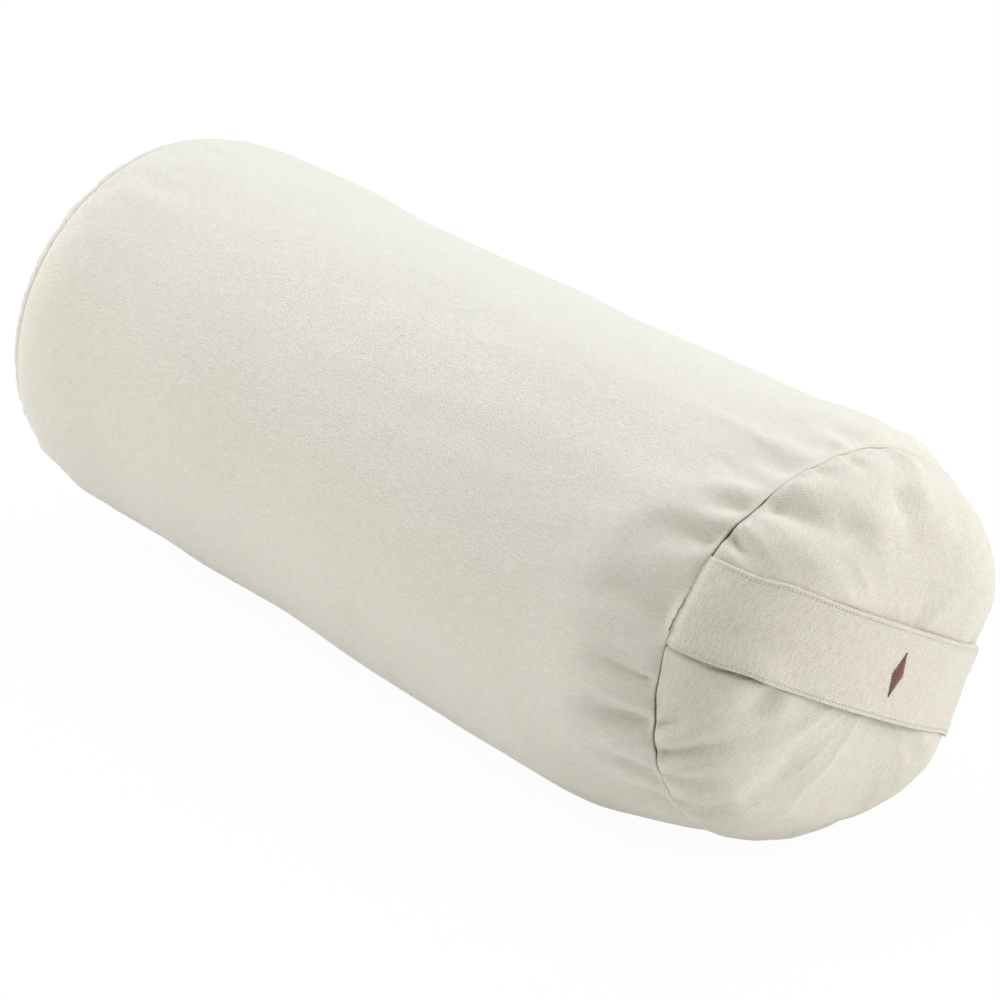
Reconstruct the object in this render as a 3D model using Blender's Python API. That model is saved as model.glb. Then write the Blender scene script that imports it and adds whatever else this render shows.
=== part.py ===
"""Yoga bolster: a zipped cotton cover with a strap handle, its inner case and its filling.

Runs with blender --background --python part.py. Units are metres and +Z is up.
X runs along the bolster, the handle is on the +X end, the front is -Y and the zip is on the back.
The origin is on the floor, under the middle of the flat that the bolster lies on.
"""

import math

import bmesh
import bpy
from mathutils import Matrix, Vector

MM = 0.001

# Cover: a body panel between two domed end panels
BODY_PANEL_LENGTH = 500 * MM
CREST_DIAMETER = 250 * MM
WAIST_NARROWER = 4 * MM
SEAM_NARROWER = 20 * MM
SEAM_TO_CREST = 42 * MM
CREST_TO_WAIST = 33 * MM
END_DOME_HEIGHT = 50 * MM
END_DOME_RISE = 10 * MM
END_DOME_FULLNESS = 2.4
HEIGHT_TO_WIDTH = 0.955
REST_FLAT_WIDTH = 86 * MM
COVER_CLOTH = 1.2 * MM
LINER_CLOTH = 0.8 * MM

# Play between pieces that touch
CLEARANCE = 0.3 * MM

# Handle: one strap across the end panel, with its ends caught in the seam
HANDLE_WIDTH = 50 * MM
HANDLE_THICKNESS = 2.0 * MM
HANDLE_TILT = math.radians(30)
HANDLE_ABOVE_AXIS = 8.5 * MM
HANDLE_SPAN = 150 * MM
HANDLE_STANDOFF = 7 * MM

# Zip: lengthwise in the back of the body panel
ZIP_END_MARGIN = 25 * MM
TAPE_UNDER_CLOTH = 4.4 * MM
TAPE_THICKNESS = 0.5 * MM
TAPE_OVERRUN = 11 * MM
TOOTH_PITCH = 3.2 * MM
TOOTH_THICKNESS = 2.2 * MM
TOOTH_PLAY = 0.45 * MM
TOOTH_NECK = 0.95 * MM
TOOTH_TIP = 0.9 * MM
TOOTH_REACH = 1.15 * MM
TOOTH_HEAD_REACH = 0.45 * MM
BEAD_WIDTH = 1.3 * MM
STOP_LENGTH = 2.4 * MM
STOP_THICKNESS = 2.8 * MM
STOP_EDGE = 0.3 * MM
STOP_FROM_END = 2 * MM

# Zip slider and its pull
SLIDER_LENGTH = 11 * MM
SLIDER_PLATE = 1.0 * MM
SLIDER_REAR_LIP = 0.6 * MM
SLIDER_FRONT_LIP = 1.4 * MM
SLIDER_REAR_CORNER = 1.0 * MM
SLIDER_SHOULDER = 4.0 * MM
SLIDER_CLOTH_PLAY = 0.8 * MM
POST_WIDTH = 3.0 * MM
POST_LENGTH = 5.6 * MM
POST_END_WIDTH = 1.0 * MM
BRIDGE_LENGTH = 7 * MM
BRIDGE_WIDTH = 2 * MM
BRIDGE_THICKNESS = 0.9 * MM
PULL_LENGTH = 24 * MM
PULL_THICKNESS = 1.5 * MM
PULL_EYE_ARM = 1.6 * MM
PULL_END_WIDTH = 7.2 * MM
PULL_SHOULDER = 2.9 * MM
PULL_WINDOW_PLAY = 0.6 * MM
PULL_HOLE_DIAMETER = 3 * MM
PULL_HOLE_MARGIN = 2.4 * MM

# How finely the cloth forms are drawn
DRAW_IN_ROWS = (0.4, 0.75)
RING_SIDES = 32
DOME_ROWS = 5
ZIP_SIDE = 6
HANDLE_COLUMNS = 4
HANDLE_TAB_ROWS = 6
HANDLE_GRIP_ROWS = 16
NORMAL_TURN_STEP = 0.002
NORMAL_ACROSS_STEP = 1 * MM
BISECTIONS = 40

COTTON = (0.80, 0.77, 0.69)
LINER_COTTON = (0.86, 0.84, 0.79)
FIBRE = (0.84, 0.80, 0.70)
MOULDED = (0.78, 0.75, 0.67)
CAST_METAL = (0.62, 0.60, 0.56)

# Sizes that follow from the ones above
SEAM_X = BODY_PANEL_LENGTH / 2
RIM_X = SEAM_X + CLEARANCE / 2
CREST_X = SEAM_X - SEAM_TO_CREST
WAIST_X = CREST_X - CREST_TO_WAIST
CREST_RADIUS = CREST_DIAMETER / 2
WAIST_RADIUS = (CREST_DIAMETER - WAIST_NARROWER) / 2
SEAM_RADIUS = (CREST_DIAMETER - SEAM_NARROWER) / 2
AXIS_HEIGHT = HEIGHT_TO_WIDTH * math.sqrt(CREST_RADIUS ** 2 - (REST_FLAT_WIDTH / 2) ** 2)
LINER_INSET = COVER_CLOTH + CLEARANCE
FILLING_INSET = LINER_INSET + LINER_CLOTH + CLEARANCE
ZIP_HALF = WAIST_X - ZIP_END_MARGIN
TAPE_HALF = ZIP_HALF + TAPE_OVERRUN
TAPE_TOP = -COVER_CLOTH - CLEARANCE
ZIP_MID = TAPE_TOP - TAPE_THICKNESS / 2
TOOTH_HEAD = TOOTH_PITCH - TOOTH_NECK - 2 * TOOTH_PLAY
BEAD_FROM_CENTRE = TOOTH_REACH + TOOTH_PLAY
BEAD_OUTER = BEAD_FROM_CENTRE + BEAD_WIDTH
CHANNEL_HALF = BEAD_OUTER + CLEARANCE
OPENING_HALF = CHANNEL_HALF + SLIDER_FRONT_LIP + SLIDER_CLOTH_PLAY
PLATE_GAP = TOOTH_THICKNESS / 2 + CLEARANCE
SLIDER_TOP = ZIP_MID + PLATE_GAP + SLIDER_PLATE
SLIDER_BOTTOM = ZIP_MID - PLATE_GAP - SLIDER_PLATE
ZIP_RELIEF = -SLIDER_BOTTOM + CLEARANCE - LINER_INSET
TOP_STOP_END = ZIP_HALF - STOP_FROM_END
SLIDER_X = TOP_STOP_END - STOP_LENGTH - CLEARANCE - SLIDER_LENGTH / 2
BOTTOM_STOP_START = -ZIP_HALF + STOP_FROM_END
TEETH_START = BOTTOM_STOP_START + STOP_LENGTH + CLEARANCE
TEETH_END = SLIDER_X + SLIDER_LENGTH / 2 - POST_LENGTH - 2 * CLEARANCE
PULL_AXIS_HEIGHT = SLIDER_TOP + CLEARANCE + PULL_THICKNESS / 2
BRIDGE_INNER_TOP = PULL_AXIS_HEIGHT + PULL_THICKNESS / 2 + CLEARANCE
BRIDGE_OUTER_TOP = BRIDGE_INNER_TOP + BRIDGE_THICKNESS
BRIDGE_REACH = math.hypot(BRIDGE_LENGTH / 2, BRIDGE_OUTER_TOP - PULL_AXIS_HEIGHT)
WINDOW_HALF = BRIDGE_WIDTH / 2 + CLEARANCE


def clear_scene():
    for item in list(bpy.data.objects):
        bpy.data.objects.remove(item, do_unlink=True)


def make_material(name, colour, roughness, metallic=0.0):
    material = bpy.data.materials.new(name)
    material.use_nodes = True
    shader = material.node_tree.nodes["Principled BSDF"]
    shader.inputs["Base Color"].default_value = (*colour, 1.0)
    shader.inputs["Roughness"].default_value = roughness
    shader.inputs["Metallic"].default_value = metallic
    return material


def add_object(name, mesh_data, material=None, smooth=True):
    """Turn a bmesh into a named object with outward faces."""
    bmesh.ops.recalc_face_normals(mesh_data, faces=mesh_data.faces)
    mesh = bpy.data.meshes.new(name)
    mesh_data.to_mesh(mesh)
    mesh_data.free()
    if smooth:
        mesh.shade_smooth()
        mesh.set_sharp_from_angle(angle=math.radians(40))
    item = bpy.data.objects.new(name, mesh)
    bpy.context.scene.collection.objects.link(item)
    if material:
        mesh.materials.append(material)
    return item


def combine(target, other, operation):
    """Apply a Boolean of target with other, then delete other."""
    cut = target.modifiers.new(operation.lower(), "BOOLEAN")
    cut.operation = operation
    cut.solver = "EXACT"
    cut.object = other
    graph = bpy.context.evaluated_depsgraph_get()
    result = bpy.data.meshes.new_from_object(target.evaluated_get(graph))
    target.modifiers.clear()
    target.data = result
    bpy.data.objects.remove(other, do_unlink=True)


# Cloth forms

def ring_angle(index):
    """Angle of a ring's corner, from the top towards the back. Side n is centred on n steps."""
    return 2 * math.pi * (index + 0.5) / RING_SIDES


def body_radius(x):
    """Outer radius of the body panel: straight waist, fuller crest, drawn in to the seam."""
    along = abs(x)
    if along <= WAIST_X:
        return WAIST_RADIUS
    if along <= CREST_X:
        share = (along - WAIST_X) / CREST_TO_WAIST
        return WAIST_RADIUS + (CREST_RADIUS - WAIST_RADIUS) * (1 - math.cos(math.pi * share)) / 2
    share = (along - CREST_X) / SEAM_TO_CREST
    return CREST_RADIUS - (CREST_RADIUS - SEAM_RADIUS) * share ** 2


def section_point(x, angle, radius, inset):
    """A point of the sagged round section, inset into the bolster and kept above the floor."""
    y = (radius - inset) * math.sin(angle)
    z = AXIS_HEIGHT + (radius * HEIGHT_TO_WIDTH - inset) * math.cos(angle)
    return Vector((x, y, max(z, inset)))


def body_rings(inset, relief=0.0):
    """Rings of the body panel from the plain end to the handle end.

    The relief presses the side under the zip further in, over the length of the tape.
    """
    end = SEAM_X - CLEARANCE / 2
    half = [WAIST_X, (WAIST_X + CREST_X) / 2, CREST_X]
    half += [CREST_X + SEAM_TO_CREST * share for share in DRAW_IN_ROWS] + [end]
    if relief:
        half = [TAPE_HALF + CLEARANCE] + half
    rings = []
    for x in [-value for value in reversed(half)] + half:
        ring = []
        for index in range(RING_SIDES):
            pressed = relief if index in (ZIP_SIDE - 1, ZIP_SIDE) and abs(x) < WAIST_X else 0.0
            ring.append(section_point(x, ring_angle(index), body_radius(x), inset + pressed))
        rings.append(ring)
    return rings


def dome_rings(side, inset):
    """Rings of an end panel from the seam towards its middle, and the middle point."""
    rings = []
    power = 2 / END_DOME_FULLNESS
    for row in range(DOME_ROWS):
        turn = math.pi / 2 * row / DOME_ROWS
        spread = math.cos(turn) ** power
        x = side * (RIM_X + (END_DOME_HEIGHT - inset) * math.sin(turn) ** power)
        ring = []
        for index in range(RING_SIDES):
            outer = section_point(x, ring_angle(index), SEAM_RADIUS, inset)
            middle = Vector((x, 0, AXIS_HEIGHT + END_DOME_RISE))
            ring.append(middle.lerp(outer, spread))
            ring[-1].x = x
        rings.append(ring)
    tip = Vector((side * (RIM_X + END_DOME_HEIGHT - inset), 0, AXIS_HEIGHT + END_DOME_RISE))
    return rings, tip


def add_ring(mesh_data, points):
    return [mesh_data.verts.new(point) for point in points]


def bridge(mesh_data, ring_a, ring_b):
    count = len(ring_a)
    for index in range(count):
        after = (index + 1) % count
        mesh_data.faces.new((ring_a[index], ring_a[after], ring_b[after], ring_b[index]))


def close_with_tip(mesh_data, ring, tip):
    point = mesh_data.verts.new(tip)
    count = len(ring)
    for index in range(count):
        mesh_data.faces.new((ring[index], ring[(index + 1) % count], point))


def add_sleeve(name, inset, cloth, material, relief=0.0):
    """A body panel: a tube of cloth, open at both seams."""
    mesh_data = bmesh.new()
    outer = [add_ring(mesh_data, ring) for ring in body_rings(inset, relief)]
    inner = [add_ring(mesh_data, ring) for ring in body_rings(inset + cloth, relief)]
    for layer in (outer, inner):
        for ring_a, ring_b in zip(layer, layer[1:]):
            bridge(mesh_data, ring_a, ring_b)
    bridge(mesh_data, outer[0], inner[0])
    bridge(mesh_data, outer[-1], inner[-1])
    return add_object(name, mesh_data, material)


def add_end_panel(name, side, inset, cloth, material):
    """An end panel: a domed cup of cloth whose rim is the seam."""
    mesh_data = bmesh.new()
    rims = []
    for depth in (inset, inset + cloth):
        points, tip = dome_rings(side, depth)
        rings = [add_ring(mesh_data, ring) for ring in points]
        for ring_a, ring_b in zip(rings, rings[1:]):
            bridge(mesh_data, ring_a, ring_b)
        close_with_tip(mesh_data, rings[-1], tip)
        rims.append(rings[0])
    bridge(mesh_data, rims[0], rims[1])
    return add_object(name, mesh_data, material)


def add_filling(material):
    """The packed filling: one solid that the inner case holds on every side."""
    mesh_data = bmesh.new()
    plain_rings, plain_tip = dome_rings(-1, FILLING_INSET)
    handle_rings, handle_tip = dome_rings(1, FILLING_INSET)
    points = plain_rings[::-1] + body_rings(FILLING_INSET, ZIP_RELIEF) + handle_rings
    rings = [add_ring(mesh_data, ring) for ring in points]
    for ring_a, ring_b in zip(rings, rings[1:]):
        bridge(mesh_data, ring_a, ring_b)
    close_with_tip(mesh_data, rings[0], plain_tip)
    close_with_tip(mesh_data, rings[-1], handle_tip)
    return add_object("filling", mesh_data, material)


# Handle

def dome_spread(y, z):
    """How far out a point of the end panel lies, from 0 at its middle to 1 at the seam."""
    low, high = 0.0, 1.0
    for _ in range(BISECTIONS):
        middle = (low + high) / 2
        up = (z - AXIS_HEIGHT - END_DOME_RISE * (1 - middle)) / HEIGHT_TO_WIDTH
        if math.hypot(y, up) > middle * SEAM_RADIUS:
            low = middle
        else:
            high = middle
    return high


def dome_reach(spread):
    """Height of the end panel above the seam at a spread."""
    return END_DOME_HEIGHT * (1 - spread ** END_DOME_FULLNESS) ** (1 / END_DOME_FULLNESS)


def strap_to_end_plane(along, across):
    """Turn strap coordinates into y and z of the end panel."""
    height = HANDLE_ABOVE_AXIS + across
    y = along * math.cos(HANDLE_TILT) + height * math.sin(HANDLE_TILT)
    z = -along * math.sin(HANDLE_TILT) + height * math.cos(HANDLE_TILT)
    return y, AXIS_HEIGHT + z


def strap_end(across, way):
    """Where the strap meets the seam, on its front (way -1) or back (way 1)."""
    low, high = 0.0, 2 * SEAM_RADIUS
    for _ in range(BISECTIONS):
        middle = (low + high) / 2
        y, z = strap_to_end_plane(way * middle, across)
        if math.hypot(y, (z - AXIS_HEIGHT) / HEIGHT_TO_WIDTH) < SEAM_RADIUS:
            low = middle
        else:
            high = middle
    return way * low


def strap_path(turn, across):
    """A point on the end panel under the strap. Turn goes from 0, front seam, to pi, back seam."""
    way = -1 if turn < math.pi / 2 else 1
    along = strap_end(across, way) * abs(math.cos(turn)) ** (2 / END_DOME_FULLNESS)
    y, z = strap_to_end_plane(along, across)
    centre_y, centre_z = strap_to_end_plane(along, 0)
    own = dome_reach(dome_spread(y, z))
    centre = dome_reach(dome_spread(centre_y, centre_z))
    loose = strap_looseness(along)
    return Vector((RIM_X + own + (centre - own) * loose, y, z)), loose


def strap_looseness(along):
    """0 where the strap is held down at its ends, 1 in the middle, where it stands free."""
    share = min(abs(along) / (HANDLE_SPAN / 2), 1.0)
    return (1 - share ** 3) ** 2


def strap_surfaces(turn, across):
    """Inner and outer point of the strap, square to the end panel."""
    before, _ = strap_path(max(turn - NORMAL_TURN_STEP, 0.0), across)
    after, _ = strap_path(min(turn + NORMAL_TURN_STEP, math.pi), across)
    left, _ = strap_path(turn, across - NORMAL_ACROSS_STEP)
    right, _ = strap_path(turn, across + NORMAL_ACROSS_STEP)
    normal = (after - before).cross(right - left).normalized()
    if normal.x < 0:
        normal = -normal
    point, loose = strap_path(turn, across)
    inner = point + CLEARANCE * normal + Vector((HANDLE_STANDOFF * loose, 0, 0))
    return inner, inner + HANDLE_THICKNESS * normal


def turn_at(along):
    """Turn at which the strap's middle line is this far from its centre."""
    way = -1 if along < 0 else 1
    share = abs(along) / abs(strap_end(0, way))
    angle = math.acos(share ** (END_DOME_FULLNESS / 2))
    return angle if way < 0 else math.pi - angle


def add_strap_piece(name, start, end, spans, material):
    """A length of the strap between two turns."""
    mesh_data = bmesh.new()
    sections = []
    for row in range(spans + 1):
        turn = start + (end - start) * row / spans
        inner, outer = [], []
        for column in range(HANDLE_COLUMNS + 1):
            across = HANDLE_WIDTH * (column / HANDLE_COLUMNS - 0.5)
            low, high = strap_surfaces(turn, across)
            inner.append(low)
            outer.append(high)
        sections.append(add_ring(mesh_data, inner + outer[::-1]))
    for section_a, section_b in zip(sections, sections[1:]):
        bridge(mesh_data, section_a, section_b)
    for section in (sections[0], sections[-1]):
        for column in range(HANDLE_COLUMNS):
            corner = len(section) - 1 - column
            mesh_data.faces.new((section[column], section[column + 1],
                                 section[corner - 1], section[corner]))
    return add_object(name, mesh_data, material)


def add_handle(material):
    inside = (HANDLE_SPAN - CLEARANCE) / 2
    outside = (HANDLE_SPAN + CLEARANCE) / 2
    tab, grip = HANDLE_TAB_ROWS, HANDLE_GRIP_ROWS
    add_strap_piece("handle_tab_front", 0.0, turn_at(-outside), tab, material)
    add_strap_piece("handle_grip", turn_at(-inside), turn_at(inside), grip, material)
    add_strap_piece("handle_tab_back", turn_at(outside), math.pi, tab, material)


# Zip

def zip_frame():
    """Local axes of the zip: along the bolster, down around its back, and out of the cloth."""
    upper = section_point(0, ring_angle(ZIP_SIDE - 1), WAIST_RADIUS, 0)
    lower = section_point(0, ring_angle(ZIP_SIDE), WAIST_RADIUS, 0)
    down = (lower - upper).normalized()
    along = Vector((1, 0, 0))
    out = along.cross(down)
    rows = Matrix((along, down, out)).transposed().to_4x4()
    return Matrix.Translation((upper + lower) / 2) @ rows


def prism(outline, low, high):
    """A bmesh prism: an outline in the zip's plane between two heights."""
    mesh_data = bmesh.new()
    bottom = [mesh_data.verts.new((x, y, low)) for x, y in outline]
    top = [mesh_data.verts.new((x, y, high)) for x, y in outline]
    mesh_data.faces.new(bottom)
    mesh_data.faces.new(top)
    bridge(mesh_data, bottom, top)
    return mesh_data


def block(x_range, y_range, z_range):
    outline = [(x_range[0], y_range[0]), (x_range[1], y_range[0]),
               (x_range[1], y_range[1]), (x_range[0], y_range[1])]
    return prism(outline, *z_range)


def mirrored(half_outline):
    """Close an outline that is given on one side of the middle line."""
    return half_outline + [(x, -y) for x, y in reversed(half_outline)]


def place(item, frame):
    item.matrix_world = frame
    return item


def cut_zip_opening(panel, frame):
    """The slit of the body panel between its two folded edges."""
    wide = (-OPENING_HALF, OPENING_HALF)
    deep = (-3 * COVER_CLOTH, 3 * COVER_CLOTH)
    slit = add_object("zip_opening", block((-ZIP_HALF, ZIP_HALF), wide, deep))
    place(slit, frame)
    bpy.context.view_layer.update()
    combine(panel, slit, "DIFFERENCE")


def add_tape(name, side, frame, material):
    across = sorted((side * CHANNEL_HALF, side * (OPENING_HALF + TAPE_UNDER_CLOTH)))
    tape = block((-TAPE_HALF, TAPE_HALF), across, (TAPE_TOP - TAPE_THICKNESS, TAPE_TOP))
    place(add_object(name, tape, material, smooth=False), frame)


def add_teeth(name, side, frame, material):
    """One row of interlocking teeth on its bead, drawn flat and then given its thickness."""
    mesh_data = bmesh.new()
    base = ZIP_MID - TOOTH_THICKNESS / 2
    count = int((TEETH_END - TEETH_START) / TOOTH_PITCH - 0.5)
    first = TEETH_START + TOOTH_PITCH * (0.5 if side < 0 else 1.0)

    def corner(x, across):
        return mesh_data.verts.new((x, side * across, base))

    ends = (corner(TEETH_START, BEAD_FROM_CENTRE), corner(TEETH_START, BEAD_OUTER))
    faces = []
    for number in range(count):
        middle = first + number * TOOTH_PITCH
        levels = []
        for width, across in ((TOOTH_NECK, BEAD_OUTER), (TOOTH_NECK, BEAD_FROM_CENTRE),
                              (TOOTH_HEAD, -TOOTH_HEAD_REACH), (TOOTH_TIP, -TOOTH_REACH)):
            levels.append((corner(middle - width / 2, across), corner(middle + width / 2, across)))
        outer, root = levels[0], levels[1]
        faces.append((ends[0], root[0], outer[0], ends[1]))
        for near, far in zip(levels, levels[1:]):
            faces.append((near[0], near[1], far[1], far[0]))
        ends = (root[1], outer[1])
    last = (corner(TEETH_END, BEAD_FROM_CENTRE), corner(TEETH_END, BEAD_OUTER))
    faces.append((ends[0], last[0], last[1], ends[1]))
    flat = [mesh_data.faces.new(corners) for corners in faces]
    lifted = bmesh.ops.extrude_face_region(mesh_data, geom=flat, use_keep_orig=True)
    moved = [part for part in lifted["geom"] if isinstance(part, bmesh.types.BMVert)]
    bmesh.ops.translate(mesh_data, verts=moved, vec=(0, 0, TOOTH_THICKNESS))
    place(add_object(name, mesh_data, material, smooth=False), frame)


def add_stops(frame, material):
    """Two top stops beside the tape edges and one bottom stop that joins the rows."""
    heights = (ZIP_MID - STOP_THICKNESS / 2, ZIP_MID + STOP_THICKNESS / 2)
    top = (TOP_STOP_END - STOP_LENGTH, TOP_STOP_END)
    bottom = (BOTTOM_STOP_START, BOTTOM_STOP_START + STOP_LENGTH)
    bead = (BEAD_FROM_CENTRE, BEAD_OUTER)
    pieces = {
        "zip_top_stop_upper": (top, (-bead[1], -bead[0])),
        "zip_top_stop_lower": (top, bead),
        "zip_bottom_stop": (bottom, (-bead[1], bead[1])),
    }
    for name, (x_range, y_range) in pieces.items():
        stop = block(x_range, y_range, heights)
        bmesh.ops.bevel(stop, geom=stop.edges[:], offset=STOP_EDGE, segments=1, affect="EDGES")
        place(add_object(name, stop, material, smooth=False), frame)


def slider_plan():
    """Plan of the slider: narrow at the rear, shoulders at the front, drawn in at the nose."""
    rear = -SLIDER_LENGTH / 2
    front = SLIDER_LENGTH / 2
    rear_half = CHANNEL_HALF + SLIDER_REAR_LIP
    front_half = CHANNEL_HALF + SLIDER_FRONT_LIP
    return mirrored([
        (rear, rear_half - SLIDER_REAR_CORNER / 2),
        (rear + SLIDER_REAR_CORNER, rear_half),
        (front - SLIDER_SHOULDER, front_half),
        (front - SLIDER_SHOULDER / 4, (CHANNEL_HALF + 3 * front_half) / 4),
        (front, CHANNEL_HALF),
    ])


def slider_shell(way):
    """A plate with two lips that turn towards the tape, oversize until it is cut to the plan.

    Way is 1 for the top plate and -1 for the bottom one.
    """
    half_length = SLIDER_LENGTH
    half_width = 2 * (CHANNEL_HALF + SLIDER_FRONT_LIP)
    lip = ZIP_MID + way * (TAPE_THICKNESS / 2 + CLEARANCE)
    inner = ZIP_MID + way * PLATE_GAP
    outer = inner + way * SLIDER_PLATE
    section = [(-half_width, outer), (half_width, outer), (half_width, lip), (CHANNEL_HALF, lip),
               (CHANNEL_HALF, inner), (-CHANNEL_HALF, inner), (-CHANNEL_HALF, lip),
               (-half_width, lip)]
    mesh_data = bmesh.new()
    rear = [mesh_data.verts.new((-half_length, y, z)) for y, z in section]
    front = [mesh_data.verts.new((half_length, y, z)) for y, z in section]
    mesh_data.faces.new(rear)
    mesh_data.faces.new(front)
    bridge(mesh_data, rear, front)
    return add_object("slider_shell", mesh_data)


def slider_bridge():
    """The arch over the top plate that carries the pull."""
    foot = SLIDER_TOP - SLIDER_PLATE / 2
    outer = BRIDGE_LENGTH / 2
    inner = outer - BRIDGE_THICKNESS
    shoulder = []
    for step in range(4):
        turn = math.pi / 2 * step / 3
        shoulder.append((inner + BRIDGE_THICKNESS * math.cos(turn),
                         BRIDGE_INNER_TOP + BRIDGE_THICKNESS * math.sin(turn)))
    half = [(inner, BRIDGE_INNER_TOP), (inner, foot), (outer, foot)] + shoulder
    arch = half + [(-x, z) for x, z in reversed(half)]
    mesh_data = bmesh.new()
    sides = []
    for y in (-BRIDGE_WIDTH / 2, BRIDGE_WIDTH / 2):
        side = [mesh_data.verts.new((x, y, z)) for x, z in arch]
        mesh_data.faces.new(side)
        sides.append(side)
    bridge(mesh_data, *sides)
    return add_object("slider_bridge", mesh_data)


def add_slider(frame, material):
    """Two lipped plates joined by the post that parts the teeth, under a bridge."""
    plan_data = prism(slider_plan(), SLIDER_BOTTOM - SLIDER_PLATE, SLIDER_TOP + SLIDER_PLATE)
    plan = add_object("slider_plan", plan_data)
    front = SLIDER_LENGTH / 2
    post_outline = mirrored([(front - POST_LENGTH, POST_END_WIDTH / 2),
                             (front - POST_LENGTH / 2, POST_WIDTH / 2),
                             (front - SLIDER_PLATE / 2, POST_END_WIDTH)])
    inside_plates = (SLIDER_BOTTOM + SLIDER_PLATE / 2, SLIDER_TOP - SLIDER_PLATE / 2)
    post = add_object("slider_post", prism(post_outline, *inside_plates))
    slider = slider_shell(1)
    combine(slider, post, "UNION")
    combine(slider, slider_shell(-1), "UNION")
    combine(slider, plan, "INTERSECT")
    combine(slider, slider_bridge(), "UNION")
    slider.name = "zip_slider"
    slider.data.materials.clear()
    slider.data.materials.append(material)
    return place(slider, frame @ Matrix.Translation((SLIDER_X, 0, 0)))


def add_pull(slider, frame, material):
    """The pull tab: an eye round the bridge, a tapered tab and a hole at its end."""
    eye = WINDOW_HALF + PULL_EYE_ARM
    end = PULL_END_WIDTH / 2
    half = PULL_THICKNESS / 2
    window_end = -BRIDGE_REACH - PULL_WINDOW_PLAY
    outline = mirrored([(0, eye), (window_end, eye), (window_end - PULL_SHOULDER, end),
                        (-PULL_LENGTH + end / 2, end), (-PULL_LENGTH, end / 2)])
    pull = add_object("zip_pull", prism(outline, -half, half), material)
    bar_data = bmesh.new()
    bmesh.ops.create_cone(bar_data, cap_ends=True, segments=12, radius1=half, radius2=half,
                          depth=2 * eye, matrix=Matrix.Rotation(math.pi / 2, 4, "X"))
    combine(pull, add_object("pull_bar", bar_data), "UNION")
    through = (-PULL_THICKNESS, PULL_THICKNESS)
    window = block((window_end, -half), (-WINDOW_HALF, WINDOW_HALF), through)
    combine(pull, add_object("pull_window", window), "DIFFERENCE")
    hole_radius = PULL_HOLE_DIAMETER / 2
    hole_x = -PULL_LENGTH + PULL_HOLE_MARGIN + hole_radius
    hole_data = bmesh.new()
    bmesh.ops.create_cone(hole_data, cap_ends=True, segments=16, radius1=hole_radius,
                          radius2=hole_radius, depth=2 * PULL_THICKNESS,
                          matrix=Matrix.Translation((hole_x, 0, 0)))
    combine(pull, add_object("pull_hole", hole_data), "DIFFERENCE")
    pull.data.materials.clear()
    pull.data.materials.append(material)
    pull.parent = slider
    pull.location = (0, 0, PULL_AXIS_HEIGHT)
    return pull


def build():
    clear_scene()
    cotton = make_material("cover_cotton", COTTON, 0.9)
    liner_cotton = make_material("liner_cotton", LINER_COTTON, 0.9)
    fibre = make_material("filling_fibre", FIBRE, 0.95)
    tape_cloth = make_material("zip_tape", COTTON, 0.85)
    moulded = make_material("zip_moulded", MOULDED, 0.4)
    metal = make_material("zip_metal", CAST_METAL, 0.35, 0.8)

    frame = zip_frame()
    cover = add_sleeve("cover_body_panel", 0.0, COVER_CLOTH, cotton)
    cut_zip_opening(cover, frame)
    add_end_panel("cover_end_panel_handle", 1, 0.0, COVER_CLOTH, cotton)
    add_end_panel("cover_end_panel_plain", -1, 0.0, COVER_CLOTH, cotton)
    add_handle(cotton)

    add_sleeve("liner_body", LINER_INSET, LINER_CLOTH, liner_cotton, ZIP_RELIEF)
    add_end_panel("liner_end_handle", 1, LINER_INSET, LINER_CLOTH, liner_cotton)
    add_end_panel("liner_end_plain", -1, LINER_INSET, LINER_CLOTH, liner_cotton)
    add_filling(fibre)

    for word, side in (("upper", -1), ("lower", 1)):
        add_tape("zip_tape_" + word, side, frame, tape_cloth)
        add_teeth("zip_chain_" + word, side, frame, moulded)
    add_stops(frame, metal)
    slider = add_slider(frame, metal)
    add_pull(slider, frame, metal)


build()
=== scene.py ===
"""Looks of the yoga bolster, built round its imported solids.

Sizes are in metres. X runs along the bolster, the strap is on the +X end, -Y is the front,
the zip is on the back and the floor is z = 0. Angles go round the bolster from its top, and
are positive towards the back. A side is 1 at the strap's end and -1 at the plain end.
"""

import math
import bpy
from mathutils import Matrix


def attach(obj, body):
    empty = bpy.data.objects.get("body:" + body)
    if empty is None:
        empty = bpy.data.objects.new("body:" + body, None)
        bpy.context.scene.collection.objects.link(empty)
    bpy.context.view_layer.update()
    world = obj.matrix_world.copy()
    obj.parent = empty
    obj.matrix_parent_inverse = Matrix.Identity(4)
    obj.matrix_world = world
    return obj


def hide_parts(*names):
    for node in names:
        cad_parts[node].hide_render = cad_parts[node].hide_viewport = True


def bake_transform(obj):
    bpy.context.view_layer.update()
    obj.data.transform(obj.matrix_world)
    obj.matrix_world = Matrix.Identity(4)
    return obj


bl_info = {
    "name": "Yoga Bolster Looks",
    "version": (1, 0, 0),
    "blender": (4, 5, 0),
    "location": "3D View > Sidebar > Bolster",
    "description": "Dresses the yoga bolster in its cover, strap, stitching and zip",
    "category": "Object",
}

import bmesh
import bpy
import numpy as np
from bpy.props import FloatProperty, FloatVectorProperty, IntProperty, PointerProperty
from bpy.types import Operator, Panel, PropertyGroup
from mathutils import Vector

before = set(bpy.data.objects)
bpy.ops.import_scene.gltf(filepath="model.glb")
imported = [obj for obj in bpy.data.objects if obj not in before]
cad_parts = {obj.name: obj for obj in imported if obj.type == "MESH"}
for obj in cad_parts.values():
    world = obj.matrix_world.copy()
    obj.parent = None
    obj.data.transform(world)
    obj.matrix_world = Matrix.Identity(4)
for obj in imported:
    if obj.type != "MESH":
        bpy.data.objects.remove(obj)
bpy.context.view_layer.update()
MM = 0.001


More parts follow.
